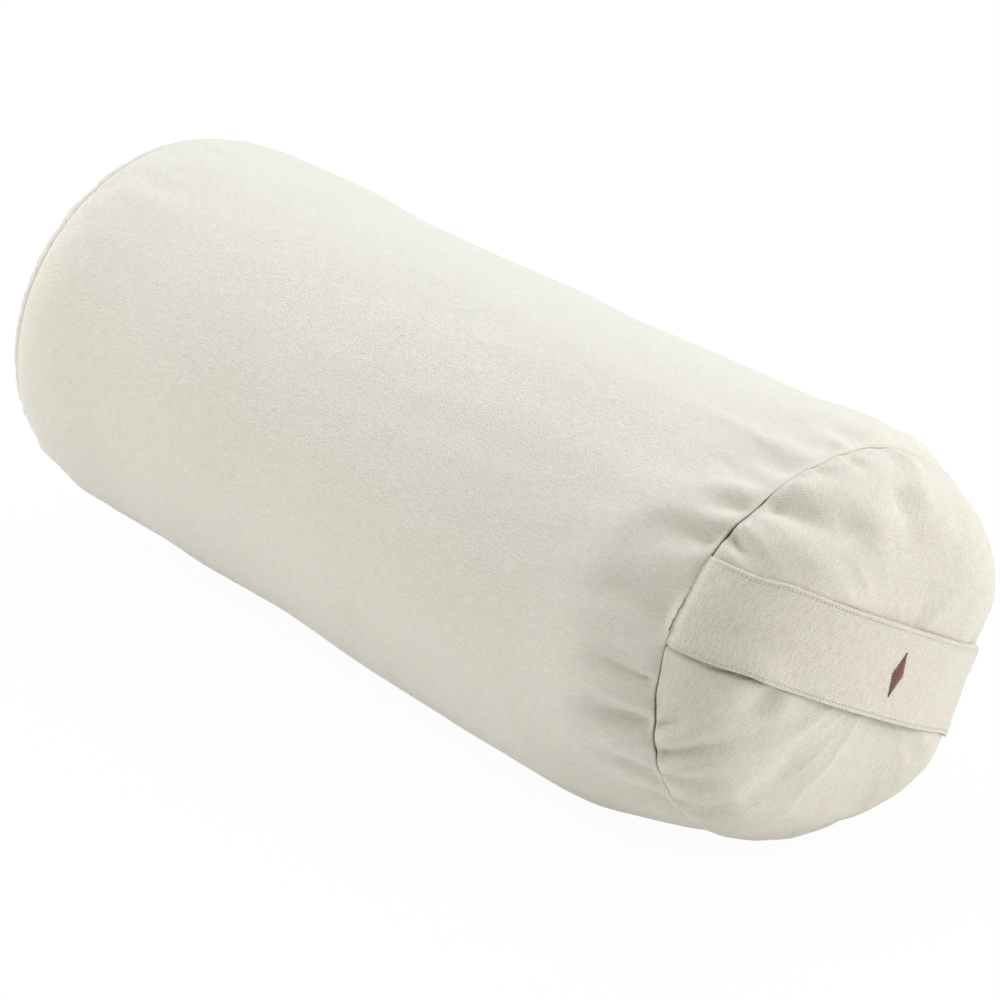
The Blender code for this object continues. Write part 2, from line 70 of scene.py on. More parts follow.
# Sizes and colours. Colours are written as sRGB hex and used as linear light

def linear(hex_colour):
    """Linear red, green and blue of an sRGB hex colour."""
    values = [int(hex_colour[i:i + 2], 16) / 255 for i in (1, 3, 5)]
    return tuple(v / 12.92 if v <= 0.04045 else ((v + 0.055) / 1.055) ** 2.4 for v in values)


def length(name, default, description):
    return FloatProperty(name=name, description=description, default=default, unit="LENGTH",
                         precision=5)


def number(name, default, low, high, description, subtype="NONE"):
    return FloatProperty(name=name, description=description, default=default, min=low, max=high,
                         subtype=subtype)


def colour(name, default, description):
    return FloatVectorProperty(name=name, description=description, default=linear(default),
                               subtype="COLOR", min=0, max=1)


class BolsterForm(PropertyGroup):
    """Size and shape of the stuffed cover."""

    near_seam: length("Seam at the strap", 0.2508, "Distance of the strap end's seam from x = 0")
    far_seam: length("Seam at the plain end", 0.2690, "Distance of the other seam from x = 0")
    near_diameter: length("Diameter near the strap", 0.250, "Fullest diameter, at the strap end")
    far_diameter: length("Diameter at the plain end", 0.2394, "Diameter of the far half")
    zip_diameter: length("Diameter at the zip", 0.246, "Diameter of the flat that holds the zip")
    seam_diameter: length("Strap seam's diameter", 0.2292, "Diameter at the strap end")
    far_seam_diameter: length("Plain seam's diameter", 0.2210, "Diameter at the plain end")
    axis_height: length("Height of the axis", 0.11209, "Height of the axis above the floor")
    near_dome: length("Dome at the strap", 0.0525, "Height of the end panel that has the strap")
    far_dome: length("Dome at the plain end", 0.0265, "Height of the plain end panel")
    dome_rise: length("Rise of the dome", 0.0130, "How far the dome's top is above the axis")
    seam_lean: length("Lean of the seam", 0.0025, "How far the strap's seam leans out at its top")
    valley: length("Valley at the seam", 0.0044, "How deep the strap's seam is at the front")
    cloth: length("Cloth", 0.0012, "Thickness of the cover cloth")
    squash: number("Height to width", 0.955, 0.5, 1, "Height of the section by its width", "FACTOR")
    fullness: number("Fullness at the strap", 2.5, 1.5, 5, "Power of that end panel's curve")
    far_fullness: number("Fullness, plain end", 2.1, 1.5, 5, "Power of that end panel's curve")


class ClothFeel(PropertyGroup):
    """How the stuffed cloth puckers."""

    pressure: number("Pressure", 4.0, 0, 20, "Pressure of the stuffing in the cloth simulation")
    ease: number("Ease", 0.05, 0, 0.2, "How much cloth is eased into each end seam", "FACTOR")
    most_swell: length("Most swell", 0.0045, "How far the simulation may move the cloth")
    pucker_depth: length("Pucker depth", 0.0010, "Mean depth of the small tucks at the seams")
    pucker_seed: IntProperty(name="Pucker seed", default=11, min=0,
                             description="Seed of the places of the small tucks")
    fold_depth: number("Fold depth", 1.6, 0, 3, "Depth of the placed folds, by the listed depths")
    weave_pitch: length("Weave pitch", 0.0011, "Distance between the drawn threads of the weave")


class StrapForm(PropertyGroup):
    """Size and place of the handle strap."""

    width: length("Width", 0.050, "Width of the strap")
    thickness: length("Thickness", 0.0020, "Thickness of the two plies at their folded edges")
    above_axis: length("Above the axis", 0.0082, "Height of the strap's middle over the axis")
    free_length: length("Free length", 0.150, "Length that isn't sewn down")
    standoff: length("Standoff", 0.0018, "Gap behind the middle of the strap")
    end_drop: length("Drop at the ends", 0.003, "How far its two sewn ends turn down")
    pinch: number("Pinch", 0.08, 0, 0.3, "How much narrower it is near its front seam", "FACTOR")
    stitch_inset: length("Stitch inset", 0.0023, "Distance of the topstitching from the edge")
    tilt: FloatProperty(name="Tilt", default=math.radians(32.4), subtype="ANGLE",
                        description="Slant of the strap, high at the front")


class Stitching(PropertyGroup):
    """The sewing threads."""

    pitch: length("Pitch", 0.0024, "Distance from one stitch to the next")
    stitch: length("Stitch length", 0.0018, "Length of thread that shows in a stitch")
    thread: length("Thread", 0.00060, "Diameter of the sewing thread")
    # A needle hole is drawn as a small dark bead of painted shade, this wide and this long
    hole: length("Needle hole", 0.00052, "Width of the shaded needle hole between two stitches")
    motif_height: length("Motif height", 0.024, "Height of the embroidered lozenge")
    motif_width: length("Motif width", 0.011, "Width of the embroidered lozenge")
    motif_thread: length("Motif thread", 0.00065, "Distance between the motif's threads")


class BolsterColours(PropertyGroup):
    """Colours of the cloths, threads and fittings, and of the painted shade in seams and needle
    holes.
    """

    canvas: colour("Canvas", "#EFEADC", "Undyed cotton canvas")
    canvas_dark: colour("Canvas, dark threads", "#C9C0AD", "The greyer threads of the canvas")
    # Crease is painted shade: the warm dark colour that the deep attribute mixes into the canvas in
    # seams, along stitching and under the strap's lower edge
    crease: colour("Crease", "#8A7257", "Cloth deep in a seam or against a folded edge")
    thread: colour("Thread", "#ECE7DA", "Cotton sewing thread")
    # The needle holes are beads of painted shade in this colour, between the stitches
    hole: colour("Needle hole", "#B3A78F", "Shaded cloth round a needle hole")
    motif: colour("Motif thread", "#7E4936", "Brown embroidery thread")
    inner_case: colour("Inner case", "#EDE9DE", "Bleached cotton of the inner case")
    filling: colour("Filling", "#DDD2B8", "Plant fibre filling")
    zip_tape: colour("Zip tape", "#DDD8CA", "Woven polyester of the zip tape")
    teeth: colour("Teeth", "#D8D2C0", "Moulded acetal of the zip's teeth")
    metal: colour("Metal", "#BDBAB2", "Satin nickel of the slider and stops")


# Shape of the cover, as grids of points: rows along the bolster, columns round it

# The zip's angle round the body, the flat that holds it, and its opening
ZIP_ANGLE = math.radians(67.5)
ZIP_SIDE_ANGLE = math.radians(11.25)
ZIP_HALF_LENGTH = 0.150
ZIP_HALF_WIDTH = 5.4 * MM
FLAT_HALF_LENGTH = 0.175
FLAT_END = 0.165
BACK_Y = 0.05
# Radius of the body's cloth for its weave, and the length of its cloth in one degree
UV_RADIUS = 0.118
CLOTH_PER_DEGREE = 2.06 * MM
# Fuller and flatter forms of the body panel: height in mm, angle and its spread in degrees, and
# the X where each begins, is full, starts to fade and has ended
BEFORE_COVER = (-9, -8)
BODY_FORMS = (
    (-3.0, 38, 45, 0, 0.06, 0.17, 0.225), (3.0, 38, 45, *BEFORE_COVER, -0.17, -0.12),
    (2.4, -20, 50, *BEFORE_COVER, -0.25, -0.18), (3.8, -137, 45, -0.08, 0.02, 0.15, 0.22),
    (-2.2, -137, 45, *BEFORE_COVER, -0.18, -0.13),
)
# Where the strap end's seam is drawn in: depth in mm, angle and its spread in degrees
SEAM_DENTS = ((2.4, -91, 9), (3.0, -115, 12), (2.0, 116, 16), (-2.0, -38, 18))
# Where the strap's end panel bulges or is held in: height, Y, height over the axis and spread,
# in mm
END_BULGES = ((9.5, 86, 30, 40), (9.5, 48, -82, 36), (-9.0, 80, -36, 26))
# Shares of the simulated swell that are used: on the body, more near its seams, on the ends
BODY_SWELL, SEAM_SWELL, END_SWELL = 0.12, 0.35, 0.6
# The hem folded back round the zip's opening
HEM_HEIGHT = 0.30 * MM
HEM_HALF_LENGTH = 0.1595
# Distances of the closer rows from a seam and of the closer columns from the zip's middle, in
# mm, and the degrees between the other columns
EDGE_ROWS = (0, 0.3, 0.6, 1.0, 1.5, 2.1, 2.8, 3.7, 4.8, 6.1, 7.7, 9.6, 11.8, 14.3, 17.0)
ZIP_COLUMNS = (0.45, 0.95, 1.7, 3.4, 5.4, 5.6, 6.0, 6.6, 7.4, 8.4, 9.6)
COLUMN_STEP = 1.125


def smooth(low, high, value):
    """0 below low, 1 above high, and a soft step between."""
    share = np.clip((value - low) / (high - low), 0.0, 1.0)
    return share * share * (3 - 2 * share)


def bump(value, centre, width):
    """1 at the centre, falling softly to 0 on both sides."""
    return np.exp(-((value - centre) / width) ** 2)


def degrees(angle):
    """Angle in degrees, from -180 to 180."""
    return (np.degrees(angle) + 180) % 360 - 180


def zip_frame(form):
    """Origin of the zip, the way down round the back, and the way out of the cloth."""
    radius = form.zip_diameter / 2
    corners = []
    for angle in (ZIP_ANGLE - ZIP_SIDE_ANGLE / 2, ZIP_ANGLE + ZIP_SIDE_ANGLE / 2):
        corners.append(np.array((0, radius * math.sin(angle),
                                 form.axis_height + form.squash * radius * math.cos(angle))))
    down = corners[1] - corners[0]
    down /= np.linalg.norm(down)
    return (corners[0] + corners[1]) / 2, down, np.cross((1, 0, 0), down)


def seam_place(form, side):
    """X and radius of an end seam."""
    if side > 0:
        return form.near_seam, form.seam_diameter / 2
    return -form.far_seam, form.far_seam_diameter / 2


def from_seam(form, x, side):
    """Distance along X from an end seam, into the body panel."""
    return form.near_seam - x if side > 0 else x + form.far_seam


def front_valley(turn):
    """1 where the strap's seam is drawn deep between two full panels, 0 elsewhere."""
    return np.exp(-((turn + 64) / 36) ** 4)


def body_radius(form, x, angle):
    """Radius of the body panel. The zip's side keeps the solid's plain profile."""
    turn = degrees(angle)
    near, far = form.near_diameter / 2, form.far_diameter / 2
    under = bump((turn + 360) % 360, 200, 35)
    behind = smooth(0, 40, turn) * (1 - smooth(140, 175, turn))
    near_fall = np.clip((x - 0.16) / (form.near_seam - 0.16), 0, 1) ** (2.8 + 13 * behind)
    far_fall = np.clip((-x - 0.205) / (form.far_seam - 0.205), 0, 1) ** 5
    radius = far + (near - far) * smooth(-0.08, 0.16, x)
    for height, middle, spread, begins, full, fades, ended in BODY_FORMS:
        swell = height * MM * bump(turn, middle, spread)
        radius = radius + swell * smooth(begins, full, x) * (1 - smooth(fades, ended, x))
    radius = (radius + 1.5 * MM * behind * bump(x, 0.235, 0.03)
              + 2.6 * MM * front_valley(turn) * bump(x, 0.207, 0.027)
              - 6.5 * MM * under * smooth(0.17, 0.245, x)
              - (near - form.seam_diameter / 2) * near_fall
              - (far - form.far_seam_diameter / 2) * far_fall)
    flat = smooth(40, 57, turn) * (1 - smooth(150, 178, turn))
    flat = flat * (1 - smooth(FLAT_HALF_LENGTH + 3 * MM, 0.215, np.abs(x)))
    return radius + (form.zip_diameter / 2 - radius) * flat


def seam_shift(form, angle):
    """How far the strap end's seam is out of its plane, and how far it is drawn in."""
    turn = degrees(angle)
    out = form.seam_lean * np.cos(angle) + 1.2 * MM * bump(turn, 116, 16)
    out = out + 0.35 * MM * (np.sin(13 * angle + 1) + np.sin(29 * angle + 2))
    inwards = sum(depth * MM * bump(turn, middle, spread) for depth, middle, spread in SEAM_DENTS)
    valley = form.valley * front_valley(turn)
    return out - valley, inwards + valley


def round_section(form, x, radius, angle):
    """Points of the section, squashed and settled on the floor."""
    y = radius * np.sin(angle)
    z = form.axis_height + form.squash * radius * np.cos(angle)
    soft = 3 * MM
    z = (z + np.sqrt(z * z + soft * soft)) / 2 - 0.3 * MM
    return np.stack([x + 0 * y, y, np.maximum(z, 0)], axis=-1)


def body_grid(form, rows, angles):
    """The smooth body panel. Rows are plain distances along X."""
    x, angle = np.meshgrid(rows, angles, indexing="ij")
    out, inwards = seam_shift(form, angle)
    inside = from_seam(form, x, 1)
    hold = 1 - smooth(0, 0.08, inside)
    near = (1 - np.clip(inside / 0.045, 0, 1)) ** 2
    valley = form.valley * front_valley(degrees(angle))
    pull = (inwards - valley) * hold + valley * near
    grid = round_section(form, x + out * hold, body_radius(form, x, angle) - pull, angle)
    origin, down, normal = zip_frame(form)
    height = (grid - origin) @ normal
    across = np.abs((grid - origin) @ down)
    flat = (1 - smooth(11.5 * MM, 13.5 * MM, across)) * (1 - smooth(FLAT_END, 0.178, np.abs(x)))
    flat = flat * (grid[..., 1] > BACK_Y)
    grid[..., 1:] -= (height * flat)[..., None] * normal[1:]
    return grid


def dome_curve(form, side):
    """Spread and height of an end panel's curve, against its length of cloth from the seam."""
    turn = np.linspace(0, math.pi / 2, 400)
    power = 2 / (form.fullness if side > 0 else form.far_fullness)
    spread = np.cos(turn) ** power
    spread[-1] = 0
    high = (form.near_dome if side > 0 else form.far_dome) * np.sin(turn) ** power
    steps = np.hypot(np.diff(spread) * seam_place(form, side)[1], np.diff(high))
    return np.concatenate([[0], np.cumsum(steps)]), spread, high


def dome_middle(form, side):
    """Y and Z of an end panel's middle."""
    return np.array((4 * MM if side > 0 else 0, form.axis_height + form.dome_rise))


def rim_grid(form, side, angles):
    return body_grid(form, np.array([seam_place(form, side)[0]]), angles)[0]


def dome_bulges(form, grid):
    """Where the filling pushes the strap's end panel out, and the strap holds it in."""
    height = np.zeros(grid.shape[:-1])
    for depth, y, up, width in END_BULGES:
        off = np.hypot(grid[..., 1] - y * MM, grid[..., 2] - form.axis_height - up * MM)
        height += depth * MM * np.exp(-(off / (width * MM)) ** 2)
    return height


def dome_grid(form, side, cloth_rows, angles):
    """The smooth end panel. Rows are distances of cloth from the seam."""
    cloth, spread, high = dome_curve(form, side)
    rim = rim_grid(form, side, angles)
    middle = dome_middle(form, side)
    share = np.interp(cloth_rows, cloth, spread)[:, None]
    height = np.interp(cloth_rows, cloth, high)[:, None]
    seam = seam_place(form, side)[0]
    x = seam + (rim[:, 0] - seam) * share ** 3 + side * height
    y = middle[0] + (rim[:, 1] - middle[0]) * share
    z = middle[1] + (rim[:, 2] - middle[1]) * share
    grid = np.stack([x, y, z], axis=-1)
    if side > 0:
        bulge = (dome_bulges(form, grid) * (1 - share ** 6))[..., None]
        away = np.stack([0 * y, y - middle[0], z - middle[1]], axis=-1)
        grid += bulge * np.array((0.75, 0, 0)) + bulge * 0.66 * share[..., None] * away / 0.115
    return grid


def dome_length(form, side):
    """Length of cloth from an end seam to the panel's middle."""
    return dome_curve(form, side)[0][-1]


def dome_tip(form, side, angles):
    return dome_grid(form, side, np.array([dome_length(form, side)]), angles)[0].mean(0)


def normals_of(grid, side=0):
    """Outward normals of a grid whose columns close into rings."""
    along = np.gradient(grid, axis=0)
    around = np.roll(grid, -1, axis=1) - np.roll(grid, 1, axis=1)
    normal = np.cross(around, along)
    size = np.linalg.norm(normal, axis=-1, keepdims=True)
    flat = np.array((side, 0, 0), float)
    normal = np.where(size > 1e-12, normal / np.maximum(size, 1e-12), flat)
    centre = grid.mean(axis=(0, 1))
    if side:
        centre[0] -= side * 0.2
    if ((grid - centre) * normal).sum() < 0:
        normal = np.where(size > 1e-12, -normal, normal)
    return normal


# Folds in the cloth. A place on the flat cloth is a complex number, in millimetres

def body_place(distance, turn):
    """Place on the body panel, from millimetres along it and degrees round it."""
    return distance + 1j * turn * CLOTH_PER_DEGREE / MM


def crease(place, start, end, width, depth, spread, at_seam):
    """Height of one soft fold along a line: a valley, or a ridge where the depth is negative."""
    line = end - start
    relative = (place - start) / line
    share = np.clip(relative.real, 0, 1)
    off = np.abs(relative - share) * abs(line) / (width * (1 + spread * share))
    fade = 1 - smooth(0.3, 1.0, share)
    if not at_seam:
        fade = fade * smooth(0.0, 0.4, share)
    return -depth * fade * (np.exp(-off ** 1.5) - 0.3 * np.exp(-(off - 1.9) ** 2))


# Folds that show at the strap's end: start and end (distance from the seam in mm, degrees),
# width and depth in mm
BODY_FOLDS = (
    ((1, -37), (48, -41), 5.0, 3.2), ((6, -31), (62, -43), 5.5, -1.3),
    ((1, -25), (24, -30), 3.5, 1.5), ((3, -19), (42, -30), 4.5, -1.3),
    ((3, -8), (46, -17), 6.5, 1.4), ((2, 10), (26, 4), 3.5, -1.0),
    ((1, 17), (28, 11), 3.8, 1.2), ((3, -59), (70, -59), 15.0, 3.0),
    ((1, -78), (46, -75), 3.6, 3.0), ((2, -85), (42, -82), 4.0, -1.6),
    ((1, -91), (40, -90), 4.4, 3.0), ((2, -98), (40, -97), 4.0, -1.4),
    ((1, -108), (38, -104), 4.2, 2.4), ((1, -122), (36, -118), 4.6, 1.9),
)
END_FOLDS = (
    ((0.5, -33.5), (24, -37), 2.6, 2.0), ((0.5, -29.5), (42, -36), 3.6, -1.7),
    ((0.5, -37), (26, -40.5), 2.6, -1.0), ((2, -21), (56, -9), 7.0, 3.6),
    ((1, -12), (24, -9), 4.0, -1.2), ((1, -3), (20, -2), 3.2, 1.5),
    ((1, 8), (26, 8), 3.2, 1.5), ((2, 26), (52, 25), 4.5, -1.4),
    ((1, 35), (34, 38), 3.2, 1.8), ((2, 45), (38, 45), 3.4, -1.2),
    ((1, 53), (40, 55), 3.4, 1.3), ((2, -99), (50, -89), 3.6, 2.8),
    ((3, -90), (24, -84), 2.8, 1.7), ((1, -94), (22, -90), 2.6, -0.9),
    ((2, -107), (40, -104), 3.2, 1.5), ((1, -120), (36, -118), 3.6, 1.3),
)
LOOSE_END_FOLDS = (
    ((28, -8), (70, -15), 6.5, 1.7), ((22, 13), (76, 19), 6.5, 2.4),
    ((66, -70), (40, -88), 5.5, 2.8), ((80, -100), (40, -132), 7.5, 1.3),
)
PUCKERS = 46
RIPPLES = 34


def placed_folds(place_of, folds, feel, side):
    """The listed folds, at the strap's end only. place_of makes a place of each pair."""
    if side < 0:
        return []
    return [(place_of(*start), place_of(*end), width, depth * feel.fold_depth)
            for start, end, width, depth in folds]


def seam_puckers(feel, place_of, side):
    """Small tucks all round a seam, at the same angles on both of its sides."""
    draw = np.random.default_rng(feel.pucker_seed + (1 if side > 0 else 0))
    tucks = []
    for turn in np.linspace(-180, 180, PUCKERS, endpoint=False):
        at = turn + draw.uniform(-3, 3)
        reach = draw.uniform(10, 38)
        lean = draw.uniform(-5, 5)
        width = draw.uniform(2.2, 4.6)
        depth = feel.pucker_depth / MM * draw.uniform(0.1, 1.2) ** 1.5
        tucks.append((place_of(1, at), place_of(1 + reach, at + lean), width, depth))
    return tucks


def fold_heights(place, folds, at_seam=True):
    height = np.zeros(place.shape)
    for start, end, width, depth in folds:
        height += crease(place, start, end, width, depth * MM, 1.1, at_seam)
    return height


def body_ripples(place, feel):
    """Broad shallow ripples that run round the bolster."""
    draw = np.random.default_rng(feel.pucker_seed + 40)
    height = np.zeros(place.shape)
    for _ in range(RIPPLES):
        start = complex(draw.uniform(-230, 230), draw.uniform(-300, 180))
        run = complex(draw.uniform(-34, 34), draw.uniform(70, 190))
        width = draw.uniform(7, 15)
        depth = draw.uniform(-0.5, 0.5)
        height += crease(place, start, start + run, width, depth * MM, 0.3, False)
    return height


def held_at_seam(distance):
    """Share of a fold's height that is left this near to a seam."""
    return 0.2 + 0.8 * smooth(0, 6 * MM, distance)


def seam_gap(turn, side):
    """How open a seam is, for its dip and its painted shade: at the strap's end it is deep at the
    front and flat at the top.
    """
    near = np.clip(0.12 + 0.9 * bump(turn, -32, 9) + 0.9 * bump(turn, -91, 14), 0, 1)
    return np.where(side > 0, near, 0.25)


def zip_places(form, grid):
    """Distance down from the zip's middle line, for each point of the body panel."""
    origin, down, _ = zip_frame(form)
    return (grid - origin) @ down


def zip_calm(form, x, grid):
    """0 at the zip, where the cloth lies flat, and 1 away from it."""
    across = np.abs(zip_places(form, grid))
    held = (1 - smooth(13 * MM, 30 * MM, across)) * (1 - smooth(FLAT_END, 0.19, np.abs(x)))
    return 1 - held * (grid[..., 1] > BACK_Y)


# Meshes from grids

def linked(name, data):
    """A new object in the scene."""
    item = bpy.data.objects.new(name, data)
    bpy.context.scene.collection.objects.link(item)
    return item


def ring_faces(rows, columns):
    """Quads of a grid whose columns close into rings."""
    i, j = np.meshgrid(np.arange(rows - 1), np.arange(columns), indexing="ij")
    after = (j + 1) % columns
    quads = np.stack([i * columns + j, i * columns + after, (i + 1) * columns + after,
                      (i + 1) * columns + j], axis=-1)
    return [tuple(map(int, quad)) for quad in quads.reshape(-1, 4)]


def capped_faces(rows, columns, both=True):
    """Faces of the rings, with a point that closes the last one, or one for each end."""
    faces = ring_faces(rows, columns)
    first = rows * columns
    last = first + 1 if both else first
    for j in range(columns):
        after = (j + 1) % columns
        if both:
            faces.append((after, j, first))
        faces.append((first - columns + j, first - columns + after, last))
    return faces


def closed_cover(form, angles, body_count, dome_count):
    """The whole smooth cover: rows of each part, one grid, the middles of its ends, faces."""
    rows = {0: np.linspace(-form.far_seam, form.near_seam, body_count)}
    for side in (-1, 1):
        rows[side] = np.linspace(0, dome_length(form, side), dome_count)[1:-1]
    grid = np.concatenate([dome_grid(form, -1, rows[-1], angles)[::-1],
                           body_grid(form, rows[0], angles), dome_grid(form, 1, rows[1], angles)])
    tips = np.array([dome_tip(form, side, angles) for side in (-1, 1)])
    return rows, grid, tips, capped_faces(*grid.shape[:2])


def new_piece(name, points, faces, material, uv=None, deep=None):
    """A mesh object at the origin. uv holds a place for each corner of each face."""
    mesh = bpy.data.meshes.new(name)
    mesh.from_pydata(np.asarray(points).tolist(), [], faces)
    if uv is not None:
        layer = mesh.uv_layers.new(name="Cloth")
        layer.data.foreach_set("uv", np.concatenate(uv).ravel())
    # deep is painted shade: how far the canvas goes towards the crease colour at each point
    if deep is not None:
        store = mesh.attributes.new("deep", "FLOAT", "POINT")
        store.data.foreach_set("value", np.asarray(deep, np.float32).ravel())
    mesh.shade_smooth()
    mesh.validate()
    mesh.materials.append(material)
    return linked(name, mesh)


def shell(name, outer, inner, faces, flat, material, deep=None, wrap=None):
    """A closed piece of cloth: an outer wall, an inner wall and an edge where the cloth ends.

    flat is each outer point's place on the flat cloth, and wrap the first place's length round.
    """
    count = len(outer)
    sides = {pair for face in faces for pair in zip(face, face[1:] + face[:1])}
    edge = sorted((b, a, a + count, b + count) for a, b in sides if (b, a) not in sides)
    back = [tuple(v + count for v in reversed(face)) for face in faces]
    all_faces = faces + back + edge
    places = np.concatenate([flat, flat])
    uv = []
    for face in all_faces:
        corners = places[list(face)].copy()
        if wrap and corners[:, 0].max() - corners[:, 0].min() > wrap / 2:
            corners[corners[:, 0] < wrap / 2, 0] += wrap
        uv.append(corners)
    if deep is not None:
        deep = np.concatenate([np.ravel(deep)] * 2)
    return new_piece(name, np.concatenate([outer, inner]), all_faces, material, uv, deep)


def inner_wall(form, outer, normal):
    """The inside of the cover's cloth, kept off the floor."""
    inner = outer - normal * form.cloth
    inner[..., 2] = np.maximum(inner[..., 2], form.cloth * 0.8)
    return inner


def oriented(points, faces, outward):
    """The faces, turned over if the first one points inwards."""
    a, b, c = (np.asarray(points)[faces[0][k]] for k in range(3))
    if np.dot(np.cross(b - a, c - a), outward[faces[0][0]]) < 0:
        return [tuple(reversed(face)) for face in faces]
    return faces


# Cloth simulation of the whole cover, on a coarse grid

SIM_COLUMNS = 144
SIM_BODY_ROWS = 91
SIM_DOME_ROWS = 24
SIM_FRAMES = 20
CLOTH_VALUES = {"quality": 6, "mass": 0.25, "tension_stiffness": 30, "compression_stiffness": 30,
                "shear_stiffness": 8, "bending_stiffness": 0.35, "use_pressure": True,
                "vertex_group_mass": "held", "vertex_group_shrink": "eased", "shrink_min": 0}


def stuffed_cover(form, feel):
    """How far the pressure of the filling moves the cloth, out of its smooth shape.

    The cloth near each end seam is eased in, a little longer than the seam, so it puckers.
    """
    angles = np.linspace(0, 2 * math.pi, SIM_COLUMNS, endpoint=False)
    rows, grid, tips, faces = closed_cover(form, angles, SIM_BODY_ROWS, SIM_DOME_ROWS)
    marks = np.cumsum([0, len(rows[-1]), len(rows[0]), len(rows[1])])
    mesh = bpy.data.meshes.new("stuffing")
    mesh.from_pydata(np.concatenate([grid.reshape(-1, 3), tips]).tolist(), [], faces)
    item = linked("stuffing", mesh)

    x = grid[..., 0]
    seam_near = np.minimum(np.abs(from_seam(form, x, 1)), np.abs(from_seam(form, x, -1)))
    held = (1 - zip_calm(form, x, grid) > 0.5) | (grid[..., 2] < 0.6 * MM)
    held[marks[1]] = held[marks[2] - 1] = True
    draw = np.random.default_rng(feel.pucker_seed)
    uneven = np.interp(np.arange(SIM_COLUMNS), np.linspace(0, SIM_COLUMNS, 25),
                       np.append(draw.uniform(0.35, 1, 24), 0.6))
    eased = (1 - smooth(0.0, 0.06, seam_near)) * uneven
    for name, weights in (("held", held), ("eased", eased)):
        group = item.vertex_groups.new(name=name)
        for index, weight in enumerate(weights.ravel()):
            if weight > 0.01:
                group.add([index], float(weight), "REPLACE")

    cloth = item.modifiers.new("cloth", "CLOTH")
    for key, value in CLOTH_VALUES.items():
        setattr(cloth.settings, key, value)
    cloth.settings.uniform_pressure_force = feel.pressure
    cloth.settings.shrink_max = -feel.ease
    cloth.settings.effector_weights.gravity = 0
    cloth.point_cache.frame_start = 1
    cloth.point_cache.frame_end = SIM_FRAMES
    scene = bpy.context.scene
    for frame_number in range(1, SIM_FRAMES + 1):
        scene.frame_set(frame_number)
    moved = item.evaluated_get(bpy.context.evaluated_depsgraph_get()).to_mesh()
    points = np.empty(len(moved.vertices) * 3)
    moved.vertices.foreach_get("co", points)
    bpy.data.objects.remove(item, do_unlink=True)
    scene.frame_set(1)

    shift = points.reshape(-1, 3)[:-2].reshape(grid.shape) - grid
    swell = (shift * normals_of(grid)).sum(axis=-1)
    swell -= swell.mean(axis=1, keepdims=True)
    swell = np.tanh(swell / feel.most_swell) * feel.most_swell
    far, body, near = (swell[a:b] for a, b in zip(marks, marks[1:]))
    return {"angles": angles, 0: (rows[0], body), 1: (rows[1], near), -1: (rows[-1], far[::-1])}


def cubic_rows(values, index):
    """Values along the first axis, read at fractional indices on a smooth curve."""
    last = len(values) - 1
    base = np.clip(np.floor(index).astype(int), 0, last - 1)
    t = (index - base).reshape((-1,) + (1,) * (values.ndim - 1))
    a, b, c, d = (values[np.clip(base + k, 0, last)] for k in (-1, 0, 1, 2))
    return b + 0.5 * t * (c - a + t * (2 * a - 5 * b + 4 * c - d + t * (3 * (b - c) + d - a)))


def swell_at(swell, part, new_rows, new_angles):
    """How far the simulation moved a part of the cover, read on a finer grid."""
    if swell is None:
        return 0
    rows, values = swell[part]
    columns = swell["angles"]
    order = np.argsort(rows)
    index = np.interp(new_rows, rows[order], np.arange(len(rows)))
    values = cubic_rows(values[order], index)
    step = columns[1] - columns[0]
    padded = np.concatenate([values[:, -2:], values, values[:, :3]], axis=1).T
    index = (new_angles - columns[0]) % (2 * math.pi) / step + 2
    return cubic_rows(padded, index).T


# The finished cover

def fine_body_rows(form):
    """Rows along the body panel, close at both seams and at the ends of the zip's opening."""
    ends = np.concatenate([np.array(EDGE_ROWS) * MM, np.arange(20 * MM, 62 * MM, 3 * MM)])
    middle = np.linspace(65 * MM - form.far_seam, form.near_seam - 65 * MM, 84)
    lips = ZIP_HALF_LENGTH + np.array([0, 0.2, 0.6, 1.2, 2.2]) * MM
    middle = [x for x in middle if min(abs(abs(x) - lips)) > 1.4 * MM]
    rows = np.concatenate([form.near_seam - ends, middle, lips, -lips, ends - form.far_seam])
    return np.unique(np.round(rows, 7))


def fine_angles(form):
    """Even columns round the cover, with closer ones along the zip."""
    even = np.radians(np.arange(0, 360, COLUMN_STEP))
    kept = [angle for angle in even if abs(angle - ZIP_ANGLE) > math.radians(5.5)]
    offsets = np.array(ZIP_COLUMNS) * MM
    origin, down, _ = zip_frame(form)
    for offset in sorted([*offsets, *-offsets, 0.0]):
        place = origin + offset * down
        kept.append(math.atan2(place[1], (place[2] - form.axis_height) / form.squash))
    return np.array(sorted(kept))


